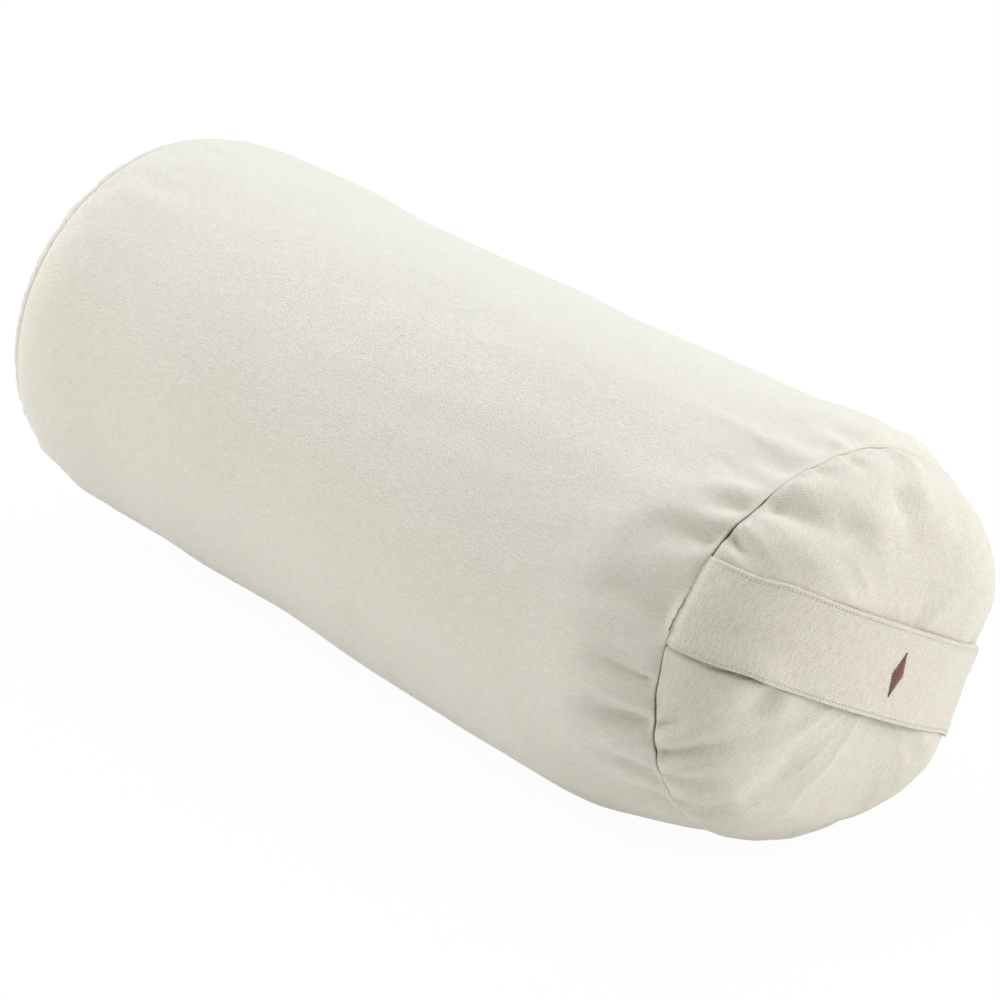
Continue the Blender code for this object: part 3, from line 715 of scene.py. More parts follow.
def cover_sums(form, feel, swell):
    """The grids of the finished body panel, which the other pieces need too."""
    angles = fine_angles(form)
    rows = fine_body_rows(form)
    grid = body_grid(form, rows, angles)
    normal = normals_of(grid)
    x, angle = np.meshgrid(rows, angles, indexing="ij")
    turn = degrees(angle)
    inside = np.minimum(from_seam(form, x, 1), from_seam(form, x, -1))
    height = body_ripples(body_place(x / MM, turn), feel) * smooth(0, 0.03, inside)
    for side in (-1, 1):
        folds = seam_puckers(feel, body_place, side)
        folds += placed_folds(body_place, BODY_FOLDS, feel, side)
        height += fold_heights(body_place(from_seam(form, x, side) / MM, turn), folds)
    swell_share = BODY_SWELL + SEAM_SWELL * (1 - smooth(0.02, 0.09, inside))
    height += swell_at(swell, 0, rows, angles) * swell_share
    calm = zip_calm(form, x, grid)
    height *= calm * smooth(0.2 * MM, 3 * MM, grid[..., 2]) * held_at_seam(inside)
    gap = seam_gap(turn, x)
    lip = 0.3 * MM * bump(inside, 1.3 * MM, 0.9 * MM)
    drop = -1.1 * MM * np.clip(1 - inside / (0.8 * MM), 0, 1) ** 2
    height += (lip + drop) * (0.15 + 0.85 * gap)

    # The hem folded back round the opening, and the lengthwise seam that goes on beyond it
    across = zip_places(form, grid)
    behind = grid[..., 1] > BACK_Y
    beyond = np.maximum(np.abs(x) - ZIP_HALF_LENGTH, 0)
    off = np.hypot(beyond, np.maximum(np.abs(across) - ZIP_HALF_WIDTH, 0))
    folded = HEM_HEIGHT * (1 - smooth(7 * MM, 8.5 * MM, off)) * (np.abs(x) < HEM_HALF_LENGTH)
    roll = 1.1 * MM
    round_off = np.where(off < roll, roll - np.sqrt(np.maximum(roll ** 2 - (roll - off) ** 2, 0)), 0)
    joined = smooth(0, 1.5 * MM, beyond - 1.2 * MM)
    gutter = joined * (-1.1 * MM * np.clip(1 - np.abs(across) / (1.2 * MM), 0, 1) ** 1.5
                       + 0.3 * MM * (1 - smooth(4 * MM, 9 * MM, np.abs(across))))
    height += (folded - round_off * (beyond < 1.3 * MM) + gutter) * behind
    # Painted shade along the end seams and down the lengthwise seam beyond the zip
    deep = np.maximum(bump(inside, 0, 0.45 * MM) * gap, behind * joined * bump(across, 0, 0.7 * MM))
    return {"angles": angles, "rows": rows, "body": grid + normal * height[..., None],
            "normal": normal, "deep": deep, "x": x, "angle": angle}


def end_panel_grid(form, feel, strap, side, angles, swell):
    """Points, normals, places and painted shade of a finished end panel."""
    total = dome_length(form, side)
    edge = np.array(EDGE_ROWS) * MM
    rows = np.concatenate([edge, np.linspace(20 * MM, total - 1.5 * MM, 42)])
    grid = dome_grid(form, side, rows, angles)
    normal = normals_of(grid, side)
    cloth, angle = np.meshgrid(rows, angles, indexing="ij")
    place = (total - cloth) / MM * np.exp(1j * angle)

    def place_of(distance, turn):
        return (total / MM - distance) * np.exp(1j * math.radians(turn))

    folds = seam_puckers(feel, place_of, side) + placed_folds(place_of, END_FOLDS, feel, side)
    loose = placed_folds(place_of, LOOSE_END_FOLDS, feel, side)
    height = fold_heights(place, folds) * held_at_seam(cloth)
    height += fold_heights(place, loose, False)
    height += END_SWELL * swell_at(swell, side, rows, angles) * smooth(0, 0.02, cloth)
    height *= smooth(0, 0.03, total - cloth) * smooth(0.2 * MM, 3 * MM, grid[..., 2])
    gap = seam_gap(degrees(angle), side)
    # Painted shade along the seam
    deep = bump(cloth, 0, 0.6 * MM) * gap
    if side > 0:
        edge_at = strap.width / 2
        along, across = end_plane_to_strap(form, strap, grid[..., 1], grid[..., 2])
        under = 1 - smooth(edge_at - 2 * MM, edge_at + 1 * MM, np.abs(across))
        pressed = np.minimum(height, -0.3 * MM - 0.8 * MM * (1 - smooth(0, 9 * MM, cloth)))
        height = height * (1 - under) + pressed * under
        # Painted shadow on the cloth just below the strap's lower edge, strongest near its front seam
        beside = bump(across, -edge_at - 0.3 * MM, 1.1 * MM)
        deep = np.maximum(deep, beside * (0.10 + 0.9 * bump(along, -0.092, 0.018)))
    height += -0.9 * MM * np.clip(1 - cloth / (0.8 * MM), 0, 1) ** 1.5 * (0.15 + 0.85 * gap)
    return grid + normal * height[..., None], normal, place, deep


# The strap

STRAP_TURNS = np.linspace(0, math.pi, 251)
STRAP_COLUMNS = (0, 0.12, 0.24, 0.36, 0.48, 0.58, 0.66, 0.74, 0.8, 0.845, 0.875, 0.895, 0.91, 0.925,
                 0.94, 0.955, 0.97, 0.98, 0.988, 0.995, 1.0)


def strap_rise(strap, along):
    """Height of the strap's middle line over its straight chord."""
    dropped = smooth(0.084, 0.102, -along) + smooth(0.072, 0.096, along)
    return strap.above_axis - strap.end_drop * dropped


def strap_to_end_plane(form, strap, along, across):
    high = strap_rise(strap, along) + across
    y = along * math.cos(strap.tilt) + high * math.sin(strap.tilt)
    z = -along * math.sin(strap.tilt) + high * math.cos(strap.tilt)
    return y, form.axis_height + z


def end_plane_to_strap(form, strap, y, z):
    up = z - form.axis_height
    along = y * math.cos(strap.tilt) - up * math.sin(strap.tilt)
    across = y * math.sin(strap.tilt) + up * math.cos(strap.tilt) - strap_rise(strap, along)
    return along, across


class StrapPath:
    """Lays the strap on the smooth end panel."""

    def __init__(self, form, strap):
        self.form, self.strap = form, strap
        self.rim = rim_grid(form, 1, np.linspace(-math.pi, math.pi, 721))
        self.middle = dome_middle(form, 1)
        offset = self.rim[:, 1:] - self.middle
        self.away = np.hypot(offset[:, 0], offset[:, 1])
        self.heading = np.unwrap(np.arctan2(offset[:, 0], offset[:, 1]))
        _, spread, high = dome_curve(form, 1)
        self.spread, self.high = spread[::-1], high[::-1]

    def spread_at(self, y, z):
        """Share of the way from the panel's middle to its seam, and the seam's X there."""
        heading = np.arctan2(y - self.middle[0], z - self.middle[1])
        away = np.interp(heading, self.heading, self.away, period=2 * math.pi)
        rim_x = np.interp(heading, self.heading, self.rim[:, 0], period=2 * math.pi)
        return np.hypot(y - self.middle[0], z - self.middle[1]) / away, rim_x

    def reach(self, y, z):
        """X of the smooth end panel at a place."""
        share, rim_x = self.spread_at(y, z)
        share = np.clip(share, 0, 1)
        lean = (rim_x - self.form.near_seam) * share ** 3
        bulge = dome_bulges(self.form, np.stack([0 * y, y, z], axis=-1)) * (1 - share ** 6)
        lean = lean + 0.75 * bulge
        return self.form.near_seam + lean + np.interp(share, self.spread, self.high)

    def end(self, across, way):
        """How far along the strap its seam is."""
        low, high = np.zeros_like(across), np.full_like(across, 0.2)
        for _ in range(40):
            middle = (low + high) / 2
            share, _ = self.spread_at(*strap_to_end_plane(self.form, self.strap,
                                                          way * middle, across))
            low = np.where(share < 1, middle, low)
            high = np.where(share < 1, high, middle)
        return low

    def drawn_in(self, along, across):
        """Distance across, where the strap's lower edge is drawn in near its front seam."""
        return across * (1 - self.strap.pinch * bump(along, -0.096, 0.012) * (across < 0))

    def heights(self, across, distance, along):
        """Height of the strap's middle over the end panel, half its thickness, stitched dent."""
        width = self.strap.width / 2
        share = np.abs(across) / width
        plies = 0.90 + 0.10 * smooth(0.55, 0.68, share)
        edge = np.sqrt(np.maximum(1 - (np.clip(share - 0.962, 0, 1) / 0.038) ** 2, 0))
        taper = 0.55 + 0.45 * smooth(0, 8 * MM, distance)
        sewn = 0.10 * MM * bump(np.abs(across), width - self.strap.stitch_inset, 0.6 * MM)
        lifted = 3.6 * MM * smooth(6 * MM, 24 * MM, -across) * bump(along, -0.084, 0.014)
        lifted = lifted * smooth(0, 10 * MM, distance)
        half = self.strap.thickness / 2
        middle = 0.3 * MM + half - 1.7 * MM * (1 - smooth(0, 6 * MM, distance)) + lifted
        return middle, half * plies * edge * taper, sewn

    def walls(self, columns):
        """Upper and lower points of the strap, its length of cloth so far, and its normals."""
        turn, wide = np.meshgrid(STRAP_TURNS, columns, indexing="ij")
        way = np.where(turn < math.pi / 2, -1, 1)
        end = np.where(way < 0, self.end(self.drawn_in(-0.105, wide), -1), self.end(wide, 1))
        along = way * end * np.abs(np.cos(turn)) ** (2 / self.form.fullness)
        across = self.drawn_in(along, wide)
        y, z = strap_to_end_plane(self.form, self.strap, along, across)
        centre = strap_to_end_plane(self.form, self.strap, along, 0 * across)
        own, middle = self.reach(y, z), self.reach(*centre)
        loose = (1 - np.minimum(np.abs(along) / (self.strap.free_length / 2), 1) ** 3) ** 2
        grid = np.stack([own + (middle - own) * loose, y, z], axis=-1)
        normal = np.cross(np.gradient(grid, axis=0), np.gradient(grid, axis=1))
        normal /= np.maximum(np.linalg.norm(normal, axis=-1, keepdims=True), 1e-12)
        normal = np.where(normal[..., :1] < 0, -normal, normal)
        steps = np.linalg.norm(np.diff(grid, axis=0), axis=-1)
        run = np.concatenate([np.zeros((1, steps.shape[1])), np.cumsum(steps, axis=0)])
        distance = np.minimum(run, run[-1] - run)
        caught = 1.5 * MM * (1 - smooth(0, 5 * MM, distance))
        grid = grid + np.array((1, 0, 0)) * (self.strap.standoff * loose - caught)[..., None]
        middle, half, sewn = self.heights(wide, distance, along)
        upper = grid + normal * (middle + half - np.minimum(sewn, half))[..., None]
        return upper, grid + normal * (middle - half)[..., None], run, normal


# Nodes

def add_node(tree, kind, links=(), **settings):
    """Add a node. Plain settings go on the node, and numbered or named inputs come in links."""
    node = tree.nodes.new(kind)
    for key, value in settings.items():
        setattr(node, key, value)
    for socket, value in links:
        if isinstance(value, bpy.types.NodeSocket):
            tree.links.new(value, node.inputs[socket])
        else:
            node.inputs[socket].default_value = value
    return node


def new_material(name, base, roughness, **sockets):
    """A material whose one shader has these plain values."""
    material = bpy.data.materials.new(name)
    material.use_nodes = True
    shader = material.node_tree.nodes["Principled BSDF"]
    shader.inputs["Base Color"].default_value = (*base, 1)
    shader.inputs["Roughness"].default_value = roughness
    for key, value in sockets.items():
        shader.inputs[key.replace("_", " ")].default_value = value
    return material, material.node_tree, shader


def maths(tree, operation, a, b=0.0, c=None):
    links = [(0, a), (1, b)] + ([(2, c)] if c is not None else [])
    return add_node(tree, "ShaderNodeMath", links, operation=operation).outputs[0]


def summed(tree, first, first_share, second, second_share):
    return maths(tree, "ADD", maths(tree, "MULTIPLY", first, first_share),
                 maths(tree, "MULTIPLY", second, second_share))


def mixed(tree, share, low, high):
    node = add_node(tree, "ShaderNodeMix", [(0, share), (6, low), (7, high)], data_type="RGBA")
    return node.outputs[2]


def texture(tree, kind, place, output="Fac", **inputs):
    node = add_node(tree, f"ShaderNodeTex{kind}", [("Vector", place), *inputs.items()])
    return node.outputs[output]


def raise_surface(tree, shader, grain, strength, height):
    node = add_node(tree, "ShaderNodeBump", [("Height", grain), ("Strength", strength),
                                             ("Distance", height)])
    tree.links.new(node.outputs[0], shader.inputs["Normal"])


def canvas_material(name, colours, feel, turn, grain_depth):
    """Undyed cotton canvas, plain woven, unbleached and washed.

    Thick spun threads give the eye a dry matt cloth with a faint grain of ribs, a few slubs
    and a soft bloom of loose fibres at its edges. The threads of a real canvas are about 0.55 mm
    apart, too fine to show here, so they are drawn twice as coarse.
    """
    material, tree, shader = new_material(name, colours.canvas, 0.93, Sheen_Weight=0.25,
                                          Sheen_Roughness=0.5, Specular_IOR_Level=0.25)
    pitch = feel.weave_pitch
    waves = math.tau / (20 * pitch)
    place = add_node(tree, "ShaderNodeUVMap", uv_map="Cloth").outputs[0]
    turned = add_node(tree, "ShaderNodeMapping", [("Vector", place),
                                                  ("Rotation", (0, 0, turn))]).outputs[0]
    waver = texture(tree, "Noise", turned, "Color", Scale=160.0, Detail=2.0)
    bent = add_node(tree, "ShaderNodeVectorMath", [(0, waver), (1, (pitch * 0.8,) * 3), (2, turned)],
                    operation="MULTIPLY_ADD").outputs[0]
    ribs = texture(tree, "Wave", bent, Scale=waves)
    cross = texture(tree, "Wave", bent, Scale=0.8 * waves)
    cross.node.bands_direction = "Y"
    weave = summed(tree, ribs, 0.52, cross, 0.48)
    long_grain = add_node(tree, "ShaderNodeMapping", [("Vector", turned),
                                                      ("Scale", (1.0, 0.22, 1.0))]).outputs[0]
    slubs = texture(tree, "Noise", long_grain, Scale=700.0, Detail=3.0, Roughness=0.6)
    fuzz = texture(tree, "Noise", place, Scale=900.0, Detail=2.0)
    patches = texture(tree, "Noise", place, Scale=14.0, Detail=2.0)
    grain = summed(tree, slubs, 0.5, fuzz, 0.5)
    speck = add_node(tree, "ShaderNodeMapRange", [("Value", grain), ("From Min", 0.36),
                                                  ("From Max", 0.64), ("To Min", 0.0),
                                                  ("To Max", 0.42)]).outputs["Result"]
    ribbed = maths(tree, "MULTIPLY", maths(tree, "SUBTRACT", 1.0, weave), 0.30)
    drawn = maths(tree, "ADD", ribbed, speck)
    tone = summed(tree, drawn, grain_depth, patches, 0.14)
    dyed = mixed(tree, maths(tree, "MINIMUM", tone, 1.0), (*colours.canvas, 1),
                 (*colours.canvas_dark, 1))
    # Painted shade: where the deep attribute is high, the canvas goes towards the crease colour in
    # seams, along stitching, at the strap's sewn ends and under its lower edge
    deep = add_node(tree, "ShaderNodeAttribute", attribute_name="deep").outputs["Fac"]
    shaded = mixed(tree, maths(tree, "MULTIPLY", deep, 0.85), dyed, (*colours.crease, 1))
    tree.links.new(shaded, shader.inputs["Base Color"])
    raise_surface(tree, shader, summed(tree, weave, 0.5, grain, 0.9), 0.6, 0.0005)
    return material


# Grains of the other materials. Twisted thread: the plies give it a slanted grain and small
# soft highlights
TWIST = {"grain": ("Noise", {"Scale": 2600.0, "Detail": 1.0}), "dark": 0.72, "relief": (0.4, 0.0002),
         "Sheen_Weight": 0.3, "Sheen_Roughness": 0.4}
# Woven polyester tape: close twill ribs 0.7 mm apart, smooth and a little shiny
TWILL = {"grain": ("Wave", {"Scale": 450.0, "Distortion": 0.4}), "dark": 0.78,
         "relief": (0.5, 0.0002), "roughness": 0.7, "Sheen_Weight": 0.2}
# Injection-moulded acetal: waxy, half glossy and very slightly mottled
WAXY = {"grain": ("Noise", {"Scale": 350.0, "Detail": 3.0}), "rough": (0.30, 0.48),
        "relief": (0.15, 0.0002), "roughness": 0.38, "IOR": 1.48, "Subsurface_Weight": 0.08,
        "Subsurface_Scale": 0.0008}
# Die-cast zinc with satin nickel plate: soft broad reflections and fine tumbling marks
PLATED = {"grain": ("Noise", {"Scale": 1400.0, "Detail": 4.0}), "rough": (0.26, 0.46),
          "relief": (0.12, 0.0001), "roughness": 0.34, "Metallic": 1.0}


def felted(scale, height):
    """Plain soft cloth or loose plant fibre: matt, with an even felted grain."""
    return {"grain": ("Noise", {"Scale": scale, "Detail": 4.0}), "dark": 0.8,
            "relief": (0.5, height), "roughness": 0.95, "Sheen_Weight": 0.3}


def grained(name, base, grain, relief, roughness, dark=None, rough=None, **sockets):
    """A material with one fine grain, which darkens or roughens it and raises it."""
    base = tuple(base)
    material, tree, shader = new_material(name, base, roughness, **sockets)
    place = add_node(tree, "ShaderNodeTexCoord").outputs["Object"]
    fac = texture(tree, grain[0], place, **grain[1])
    if dark:
        low = tuple(v * dark for v in base)
        tree.links.new(mixed(tree, fac, (*low, 1), (*base, 1)), shader.inputs["Base Color"])
    if rough:
        spread = add_node(tree, "ShaderNodeMapRange", [("Value", fac), ("To Min", rough[0]),
                                                       ("To Max", rough[1])]).outputs["Result"]
        tree.links.new(spread, shader.inputs["Roughness"])
    raise_surface(tree, shader, fac, *relief)
    return material


# Geometry Nodes

def thread_tree(name, satin):
    """Beads of thread at each step along every path: stitches in a row, or satin stitch.

    Satin stitch lies across the path, long in its middle and short at its ends.
    """
    tree = bpy.data.node_groups.new(name, "GeometryNodeTree")
    tree.interface.new_socket("Geometry", in_out="INPUT", socket_type="NodeSocketGeometry")
    for key in ("Pitch", "Length", "Thread"):
        tree.interface.new_socket(key, in_out="INPUT", socket_type="NodeSocketFloat")
    tree.interface.new_socket("Material", in_out="INPUT", socket_type="NodeSocketMaterial")
    tree.interface.new_socket("Geometry", in_out="OUTPUT", socket_type="NodeSocketGeometry")
    given = add_node(tree, "NodeGroupInput").outputs
    curve = add_node(tree, "GeometryNodeMeshToCurve", [(0, given["Geometry"])]).outputs[0]
    steps = add_node(tree, "GeometryNodeResampleCurve",
                     [(0, curve), ("Length", given["Pitch"])], mode="LENGTH").outputs[0]
    reach = given["Length"]
    way = add_node(tree, "GeometryNodeInputTangent").outputs[0]
    sides, low, high, seed = 8, 0.88, 1.06, 5
    if satin:
        share = add_node(tree, "GeometryNodeSplineParameter").outputs["Factor"]
        from_middle = maths(tree, "ABSOLUTE", maths(tree, "MULTIPLY_ADD", share, 2.0, -1.0))
        taper = maths(tree, "MULTIPLY_ADD", from_middle, -0.9, 1.0)
        reach = maths(tree, "MULTIPLY", taper, reach)
        way = add_node(tree, "ShaderNodeVectorMath", [(0, way), (1, (1.0, 0.0, 0.0))],
                       operation="CROSS_PRODUCT").outputs[0]
        sides, low, high, seed = 10, 0.93, 1.05, 9
    uneven = add_node(tree, "FunctionNodeRandomValue", [(2, low), (3, high), ("Seed", seed)],
                      data_type="FLOAT").outputs[1]
    run = maths(tree, "MULTIPLY", reach, uneven)
    bead = add_node(tree, "GeometryNodeMeshUVSphere", [("Segments", sides), ("Rings", sides - 2),
                                                       ("Radius", 0.5)]).outputs[0]
    aim = add_node(tree, "FunctionNodeAlignRotationToVector", [("Vector", way)],
                   axis="Z").outputs[0]
    size = add_node(tree, "ShaderNodeCombineXYZ", [(0, given["Thread"]), (1, given["Thread"]),
                                                   (2, run)]).outputs[0]
    placed = add_node(tree, "GeometryNodeInstanceOnPoints",
                      [("Points", steps), ("Instance", bead), ("Rotation", aim),
                       ("Scale", size)]).outputs[0]
    real = add_node(tree, "GeometryNodeRealizeInstances", [(0, placed)]).outputs[0]
    rounded = add_node(tree, "GeometryNodeSetShadeSmooth", [(0, real)]).outputs[0]
    dressed = add_node(tree, "GeometryNodeSetMaterial",
                       [(0, rounded), ("Material", given["Material"])]).outputs[0]
    add_node(tree, "NodeGroupOutput", [(0, dressed)])
    return tree


def grown(name, paths, tree, pitch, reach, thread, material):
    """A plain mesh of what a tree makes along the paths."""
    edges, start = [], 0
    for path in paths:
        edges += [(start + k, start + k + 1) for k in range(len(path) - 1)]
        start += len(path)
    guide = bpy.data.meshes.new(name)
    guide.from_pydata(np.concatenate(paths).tolist(), edges, [])
    item = linked(name, guide)
    modifier = item.modifiers.new("grow", "NODES")
    modifier.node_group = tree
    values = {"Pitch": pitch, "Length": reach, "Thread": thread, "Material": material}
    for socket in tree.interface.items_tree:
        if socket.in_out == "INPUT" and socket.name in values:
            modifier[socket.identifier] = values[socket.name]
    bpy.context.view_layer.update()
    graph = bpy.context.evaluated_depsgraph_get()
    made = bpy.data.meshes.new_from_object(item.evaluated_get(graph))
    item.modifiers.clear()
    made.materials.clear()
    made.materials.append(material)
    made.polygons.foreach_set("material_index", [0] * len(made.polygons))
    item.data = made
    if not made.polygons:
        raise RuntimeError(f"{name} came out empty")
    return item


def after(path, distance):
    """A path without its first stretch of this length."""
    run = np.concatenate([[0], np.cumsum(np.linalg.norm(np.diff(path, axis=0), axis=1))])
    start = [np.interp(distance, run, path[:, k]) for k in range(3)]
    return np.concatenate([[start], path[run > distance + 0.1 * MM]])


def sewn_line(name, paths, made, stitching):
    """Stitches along the paths, and dark beads of painted shade in the needle holes between them."""
    pitch, hole = stitching.pitch, stitching.hole
    stitches = grown(f"{name}_stitches", paths, made["stitches"], pitch, stitching.stitch,
                     stitching.thread, made["thread"])
    holes = grown(f"{name}_hole_shade_beads", [after(path, pitch / 2) for path in paths],
                  made["stitches"], pitch, hole, hole, made["hole"])
    return stitches, holes


# Zip pieces: rounded copies of the solids

def softened(node, name, width, material, segments=2):
    """A copy of a solid with its loose triangles joined and its edges rounded."""
    work = bmesh.new()
    work.from_mesh(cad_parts[node].data)
    bmesh.ops.remove_doubles(work, verts=work.verts[:], dist=1e-6)
    bmesh.ops.dissolve_limit(work, angle_limit=math.radians(1), verts=work.verts[:],
                             edges=work.edges[:])
    sharp = [edge for edge in work.edges
             if len(edge.link_faces) == 2 and edge.calc_face_angle(0) > math.radians(25)]
    bmesh.ops.bevel(work, geom=sharp, offset=width, segments=segments, profile=0.6,
                    affect="EDGES", clamp_overlap=True)
    mesh = bpy.data.meshes.new(name)
    work.to_mesh(mesh)
    work.free()
    mesh.shade_smooth()
    mesh.set_sharp_from_angle(angle=math.radians(50))
    mesh.materials.clear()
    mesh.materials.append(material)
    return linked(name, mesh)


# Operators

# The inner case and the filling: depths under the cover's outside, how much less deep they lie
# at the zip, the case's cloth, and the degrees and rows of their grids
CASE_DEPTH = 9.0 * MM
FILLING_DEPTH = 10.4 * MM
ZIP_RISE = 3.2 * MM
CASE_CLOTH = 0.8 * MM
INSIDE_STEP = 4.5
INSIDE_BODY_ROWS = 60
INSIDE_DOME_ROWS = 14
# Two distances past the strap's seam along X. The strap's operator makes two points of them and does
# nothing more with them, so the strap doesn't move with the handle
STRAP_BLEND = (10 * MM, 50 * MM)
# The zip's tapes: depth under the cover's cloth, half their length, rows, and their two edges'
# distances from the zip's middle. Then the seam round the zip, past its ends and at its sides
TAPE_DEPTH = 0.35 * MM
TAPE_HALF_LENGTH = 0.161
TAPE_ROWS = 90
TAPE_EDGES = (3.25 * MM, 9.7 * MM)
SEAM_PAST_ZIP = 7.0 * MM
SEAM_BESIDE_ZIP = 8.0 * MM
SHARED = {}


def settings():
    scene = bpy.context.scene
    return [getattr(scene, key) for key in GROUPS]


def shared_cover():
    """The cover's grids and materials, made once and used by several operators."""
    if not SHARED:
        form, feel, strap, _, colours = settings()
        swell = stuffed_cover(form, feel)
        SHARED["swell"] = swell
        SHARED["cover"] = cover_sums(form, feel, swell)
        SHARED["canvas"] = canvas_material("cotton_canvas_body", colours, feel, turn=0,
                                           grain_depth=0.85)
        SHARED["canvas_end"] = canvas_material("cotton_canvas_end", colours, feel,
                                               turn=strap.tilt, grain_depth=1.15)
        SHARED["stitches"] = thread_tree("Runs of stitches", satin=False)
        SHARED["thread"] = grained("cotton_thread", colours.thread, roughness=0.7, **TWIST)
        # Painted shade for the needle holes, with a felted grain
        SHARED["hole"] = grained("needle_hole_shade", colours.hole, **felted(900, 0.0002))
    return SHARED


class BOLSTER_OT_body(Operator):
    """Make the body panel of the cover, with its puckers, zip opening and lengthwise seam"""

    bl_idname = "bolster.body"
    bl_label = "Body panel"

    def execute(self, context):
        form = context.scene.bolster_form
        made = shared_cover()
        cover = made["cover"]
        grid, normal = cover["body"], cover["normal"]
        faces = ring_faces(*grid.shape[:2])
        corners = np.array(faces)[:, (0, 2)]
        across, x, y = (values.ravel()[corners].mean(1)
                        for values in (zip_places(form, grid), cover["x"], grid[..., 1]))
        slit = (np.abs(across) < ZIP_HALF_WIDTH) & (np.abs(x) < ZIP_HALF_LENGTH) & (y > BACK_Y)
        faces = [face for face, cut in zip(faces, slit) if not cut]
        outer = grid.reshape(-1, 3)
        inner = inner_wall(form, grid, normal).reshape(-1, 3)
        faces = oriented(outer, faces, normal.reshape(-1, 3))
        flat = np.stack([cover["angle"] % (2 * math.pi) * UV_RADIUS, cover["x"]], axis=-1)
        piece = shell("cover_body", outer, inner, faces, flat.reshape(-1, 2), made["canvas"],
                      cover["deep"], wrap=2 * math.pi * UV_RADIUS)
        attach(piece, "bolster")
        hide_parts("cover_body_panel")
        return {"FINISHED"}


class BOLSTER_OT_ends(Operator):
    """Make the two domed end panels of the cover"""

    bl_idname = "bolster.ends"
    bl_label = "End panels"

    def execute(self, context):
        form, feel, strap = settings()[:3]
        made = shared_cover()
        angles = made["cover"]["angles"]
        for side, word in ((1, "handle"), (-1, "plain")):
            grid, normal, place, deep = end_panel_grid(form, feel, strap, side, angles,
                                                       made["swell"])
            tip = dome_tip(form, side, angles)
            outer = np.concatenate([grid.reshape(-1, 3), [tip]])
            inner = np.concatenate([inner_wall(form, grid, normal).reshape(-1, 3),
                                    [tip - (side * form.cloth, 0, 0)]])
            outward = np.concatenate([normal.reshape(-1, 3), [(side, 0, 0)]])
            faces = oriented(outer, capped_faces(*grid.shape[:2], both=False), outward)
            flat = np.append(place.ravel(), 0) * MM
            flat = np.stack([flat.imag, flat.real], axis=-1)
            piece = shell(f"cover_end_{word}", outer, inner, faces, flat, made["canvas_end"],
                          np.append(deep.ravel(), 0))
            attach(piece, "bolster")
            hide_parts(f"cover_end_panel_{word}")
        return {"FINISHED"}


class BOLSTER_OT_inside(Operator):
    """Make the inner case and the filling, which the cover hides"""

    bl_idname = "bolster.inside"
    bl_label = "Inner case and filling"

    def closed_form(self, name, depth, wall, material):
        """A closed form that lies this deep under the cover, or less deep at the zip."""
        form = settings()[0]
        angles = np.radians(np.arange(0, 360, INSIDE_STEP))
        _, grid, tips, faces = closed_cover(form, angles, INSIDE_BODY_ROWS, INSIDE_DOME_ROWS)
        normal = normals_of(grid)
        inset = depth - ZIP_RISE * (1 - zip_calm(form, grid[..., 0], grid))
        outer = grid - normal * inset[..., None]
        outer[..., 2] = np.maximum(outer[..., 2], depth)
        outward = np.concatenate([normal.reshape(-1, 3), [(-1, 0, 0), (1, 0, 0)]])
        points = np.concatenate([outer.reshape(-1, 3), tips - depth * outward[-2:]])
        faces = oriented(points, faces, outward)
        if wall:
            return shell(name, points, points - outward * wall, faces, points[:, :2], material)
        return new_piece(name, points, faces, material)

    def execute(self, context):
        colours = context.scene.bolster_colours
        muslin = grained("bleached_muslin", colours.inner_case, **felted(900, 0.0003))
        fibre = grained("plant_fibre", colours.filling, **felted(260, 0.002))
        case = self.closed_form("inner_case", CASE_DEPTH, CASE_CLOTH, muslin)
        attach(case, "bolster")
        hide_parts("liner_body", "liner_end_handle", "liner_end_plain")
        mass = self.closed_form("filling_mass", FILLING_DEPTH, 0, fibre)
        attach(mass, "bolster")
        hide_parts("filling")
        return {"FINISHED"}


